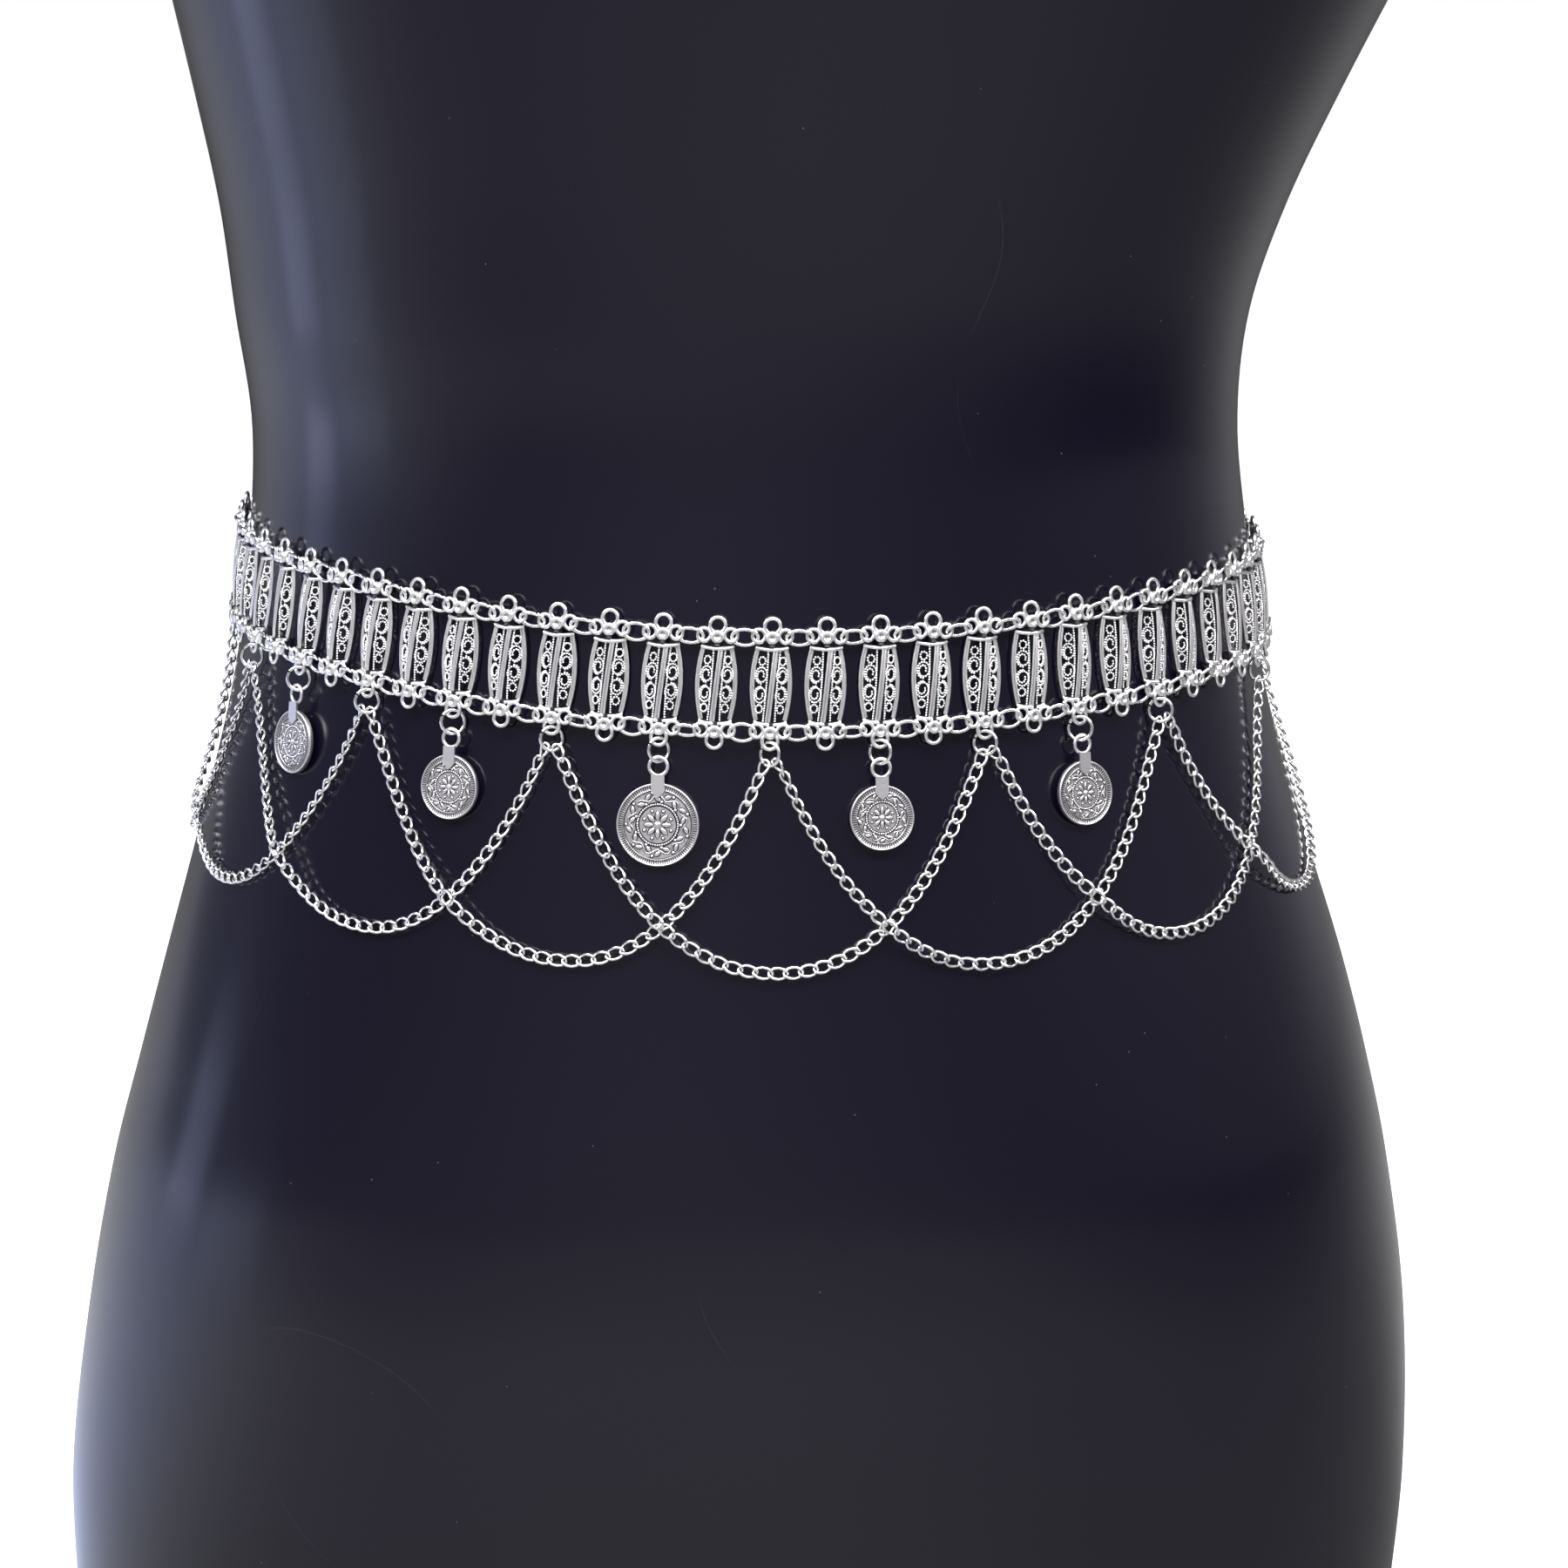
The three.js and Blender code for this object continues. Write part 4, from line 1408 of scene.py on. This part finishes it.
def end_bail(place, side, name, node):
    at = belt_frame(place)
    tip_at = belt_frame(place + side * END_BAIL_REACH / PITCH)
    tip = at.inverted() @ tip_at.translation
    upper = [
        Vector((side * SIDE_RING_X, -0.5, HEAD_Z - 0.4)),
        Vector((side * (SIDE_RING_REACH + 0.9), -0.3, 9.3)),
    ]
    points = upper + [tip] + [Vector((p.x, p.y, -p.z)) for p in reversed(upper)]
    shape = Shape()
    shape.add(tube(smooth_line(points, 5), END_BAIL_WIRE, 8), 1.0, at)
    clasp_piece(shape, name, node)


end_bail(LAST_PLAQUE, 1, "clasp_wire_left", "end_bail_left")
end_bail(NEXT_PLAQUE, -1, "clasp_wire_right", "end_bail_right")
seam = (SOLID_WIRE + SEAM_GAP) / PITCH
lobster_start = LAST_PLAQUE + END_BAIL_REACH / PITCH + seam
ring_end = NEXT_PLAQUE - END_BAIL_REACH / PITCH - seam
ring_reach = (CLASP_RING_RADIUS + SOLID_WIRE) / PITCH
lobster_end = ring_end - 2 * ring_reach - SEAM_GAP / PITCH
ring_circle = upright_circle(CLASP_RING_RADIUS, 28)
ring_wire = tube(ring_circle, CLASP_RING_WIRE, 8, closed=True)
ring_shape = Shape()
ring_shape.add(ring_wire, 1.0, belt_frame(ring_end - ring_reach))
clasp_piece(ring_shape, "closing_ring", "clasp_ring")


def lobster_shape(length, at):
    """A claw of thick wire round an eye-shaped opening, with a thumb lever along one side."""
    claw = []
    radii = []
    steps = 22
    for i in range(steps + 1):
        a = math.radians((180 - CLAW_GAP_ANGLE / 2) * (2 * i / steps - 1))
        height = CLAW_HALF_HEIGHT * (1 - CLAW_NARROWING * (1 + math.cos(a)) / 2)
        claw.append(Vector((-0.46 * length * math.cos(a), 0, height * math.sin(a))))
        radii.append(CLAW_WIRE + CLAW_SWELL * abs(math.sin(a)))
    lever = [
        Vector((-0.2 * length, 0.1, 1.3)),
        Vector((0.05 * length, 0, 0.9)),
        Vector((0.3 * length, 0, 0.9)),
        Vector((0.44 * length, 0, 0.3)),
    ]
    shape = Shape()
    shape.add(tube(claw, radii, 8), 1.0, at)
    shape.add(tube(smooth_line(lever, 4), LEVER_WIRE, 8), 1.0, at)
    return shape


lobster_at = belt_frame((lobster_start + lobster_end) / 2)
lobster = lobster_shape((lobster_end - lobster_start) * PITCH, lobster_at)
clasp_piece(lobster, "claw_clasp", "lobster_clasp")

# %% [markdown]
# Templates have done their work, so they go.

# %% Remove the templates
for template in (link, bead, plaque, oval_template, ring_template):
    bpy.data.objects.remove(template)

# %% [markdown]
# The studio. A pale floor runs out to a white surround. The glossy form mirrors what stands round
# it, so the floor and the surround glow by direction: a broad cool band down the left side, a narrow
# one at the right edge, and a dim front. Lamps high above the camera light the silver and aren't
# mirrored by the upright form. Two small cool ones low at the left leave soft streaks on it.

# %% Floor and surround
FLOOR_HALF = 9.0
COOL = (0.6, 0.68, 1)
PLAIN = (0.94, 0.9, 1)
# azimuth, elevation, sharpness and strength of soft patches of light, the cool one first
FLOOR_PATCHES = [(-106, 0, 5, 1.3), (-6, 0, 1.6, 0.3), (140, 0, 10, 0.28)]
SKY_PATCHES = [(-112, -12, 6, 0.15), (-14, -20, 3, 0.36), (140, 0, 10, 0.25), (75, 25, 5, 0.22)]
SKY_STRENGTH = 0.15


def patches_of_light(graph, way, patches):
    """The first patch alone, as a share, and the strength of all of them together."""
    shares = []
    for azimuth, elevation, sharpness, strength in patches:
        inputs = {0: way, 1: towards(azimuth, elevation)}
        cosine = graph.value("ShaderNodeVectorMath", "Value", {"operation": "DOT_PRODUCT"}, inputs)
        shares.append(cosine.math("MAXIMUM", cosine, 0.0) ** sharpness)
    return shares[0], sum(patch[3] * share for patch, share in zip(patches, shares))


def floor_material():
    """White where the camera looks, and elsewhere as bright as the surround above it."""
    made, graph = new_material("pale_floor")
    coords = graph.node("ShaderNodeTexCoord").outputs["Object"]
    way = graph.node("ShaderNodeVectorMath", {"operation": "NORMALIZE"}, {0: coords}).outputs[0]
    seen = graph.value("ShaderNodeLightPath", "Is Camera Ray")
    cool, strength = patches_of_light(graph, way, FLOOR_PATCHES)
    tone = graph.noise(3, 2) * 0.045 + 0.15 + 0.35 * seen
    grey = graph.blend(tone, (0, 0, 0), (1, 1, 1))
    matt = graph.node("ShaderNodeBsdfDiffuse", None, {"Color": grey})
    strength = seen + (1 - seen) * strength
    tint = graph.blend(cool * (1 - seen), (1, 1, 1), COOL)
    glow = graph.node("ShaderNodeEmission", None, {"Color": tint, "Strength": strength})
    lit = graph.node("ShaderNodeAddShader", None, {0: matt.outputs[0], 1: glow.outputs[0]})
    graph.node("ShaderNodeOutputMaterial", None, {"Surface": lit.outputs[0]})
    return made


floor_mesh = bpy.data.meshes.new("floor")
corners = [(-1, -1, 0), (1, -1, 0), (1, 1, 0), (-1, 1, 0)]
corners = [tuple(FLOOR_HALF * c for c in corner) for corner in corners]
floor_mesh.from_pydata(corners, [], [(0, 1, 2, 3)])
floor = added("floor", floor_mesh)
floor_mesh.materials.append(floor_material())

world = bpy.data.worlds.new("surround")
SCENE.world = world
world.use_nodes = True
sky = Graph(world.node_tree)
seen = sky.node("ShaderNodeLightPath").outputs["Is Camera Ray"]
white = sky.node("ShaderNodeBackground", None, {"Color": (1, 1, 1, 1), "Strength": 1.0})
way = sky.node("ShaderNodeTexCoord").outputs["Generated"]
cool, strength = patches_of_light(sky, way, SKY_PATCHES)
tint = sky.blend(cool, PLAIN, COOL)
glow = {"Color": tint, "Strength": SKY_STRENGTH + strength}
dim = sky.node("ShaderNodeBackground", None, glow)
both = sky.node("ShaderNodeMixShader", None, {0: seen, 1: dim.outputs[0], 2: white.outputs[0]})
sky.node("ShaderNodeOutputWorld", None, {"Surface": both.outputs[0]})
SCENE.view_settings.view_transform = "Standard"

# %% Lamps
LAMPS = [
    # name, azimuth from the camera side, elevation, distance, width, height, power, colour
    ("top_front", 0, 52, 1.5, 1.4, 0.5, 33, (1, 1, 1)),
    ("right_side", 68, 42, 1.5, 0.7, 0.5, 17, (1, 1, 1)),
    ("left_side", -62, 42, 1.5, 0.7, 0.5, 19, (1, 1, 1)),
    ("left_patch", -105, -3.7, 1.5, 0.3, 0.16, 0.2, COOL),
    ("left_streak", -88, -5.7, 1.5, 0.4, 0.14, 0.12, COOL),
]
LAMP_AIM = Vector((0, 0, 0.23))
for name, azimuth, elevation, distance, width, height, power, colour in LAMPS:
    data = bpy.data.lights.new(name, "AREA")
    data.shape = "RECTANGLE"
    data.size = width
    data.size_y = height
    data.energy = power
    data.color = colour
    lamp = added(name, data)
    way = towards(azimuth, elevation)
    lamp.location = LAMP_AIM + distance * way
    lamp.rotation_euler = way.to_track_quat("Z", "Y").to_euler()
    lamp.visible_camera = False
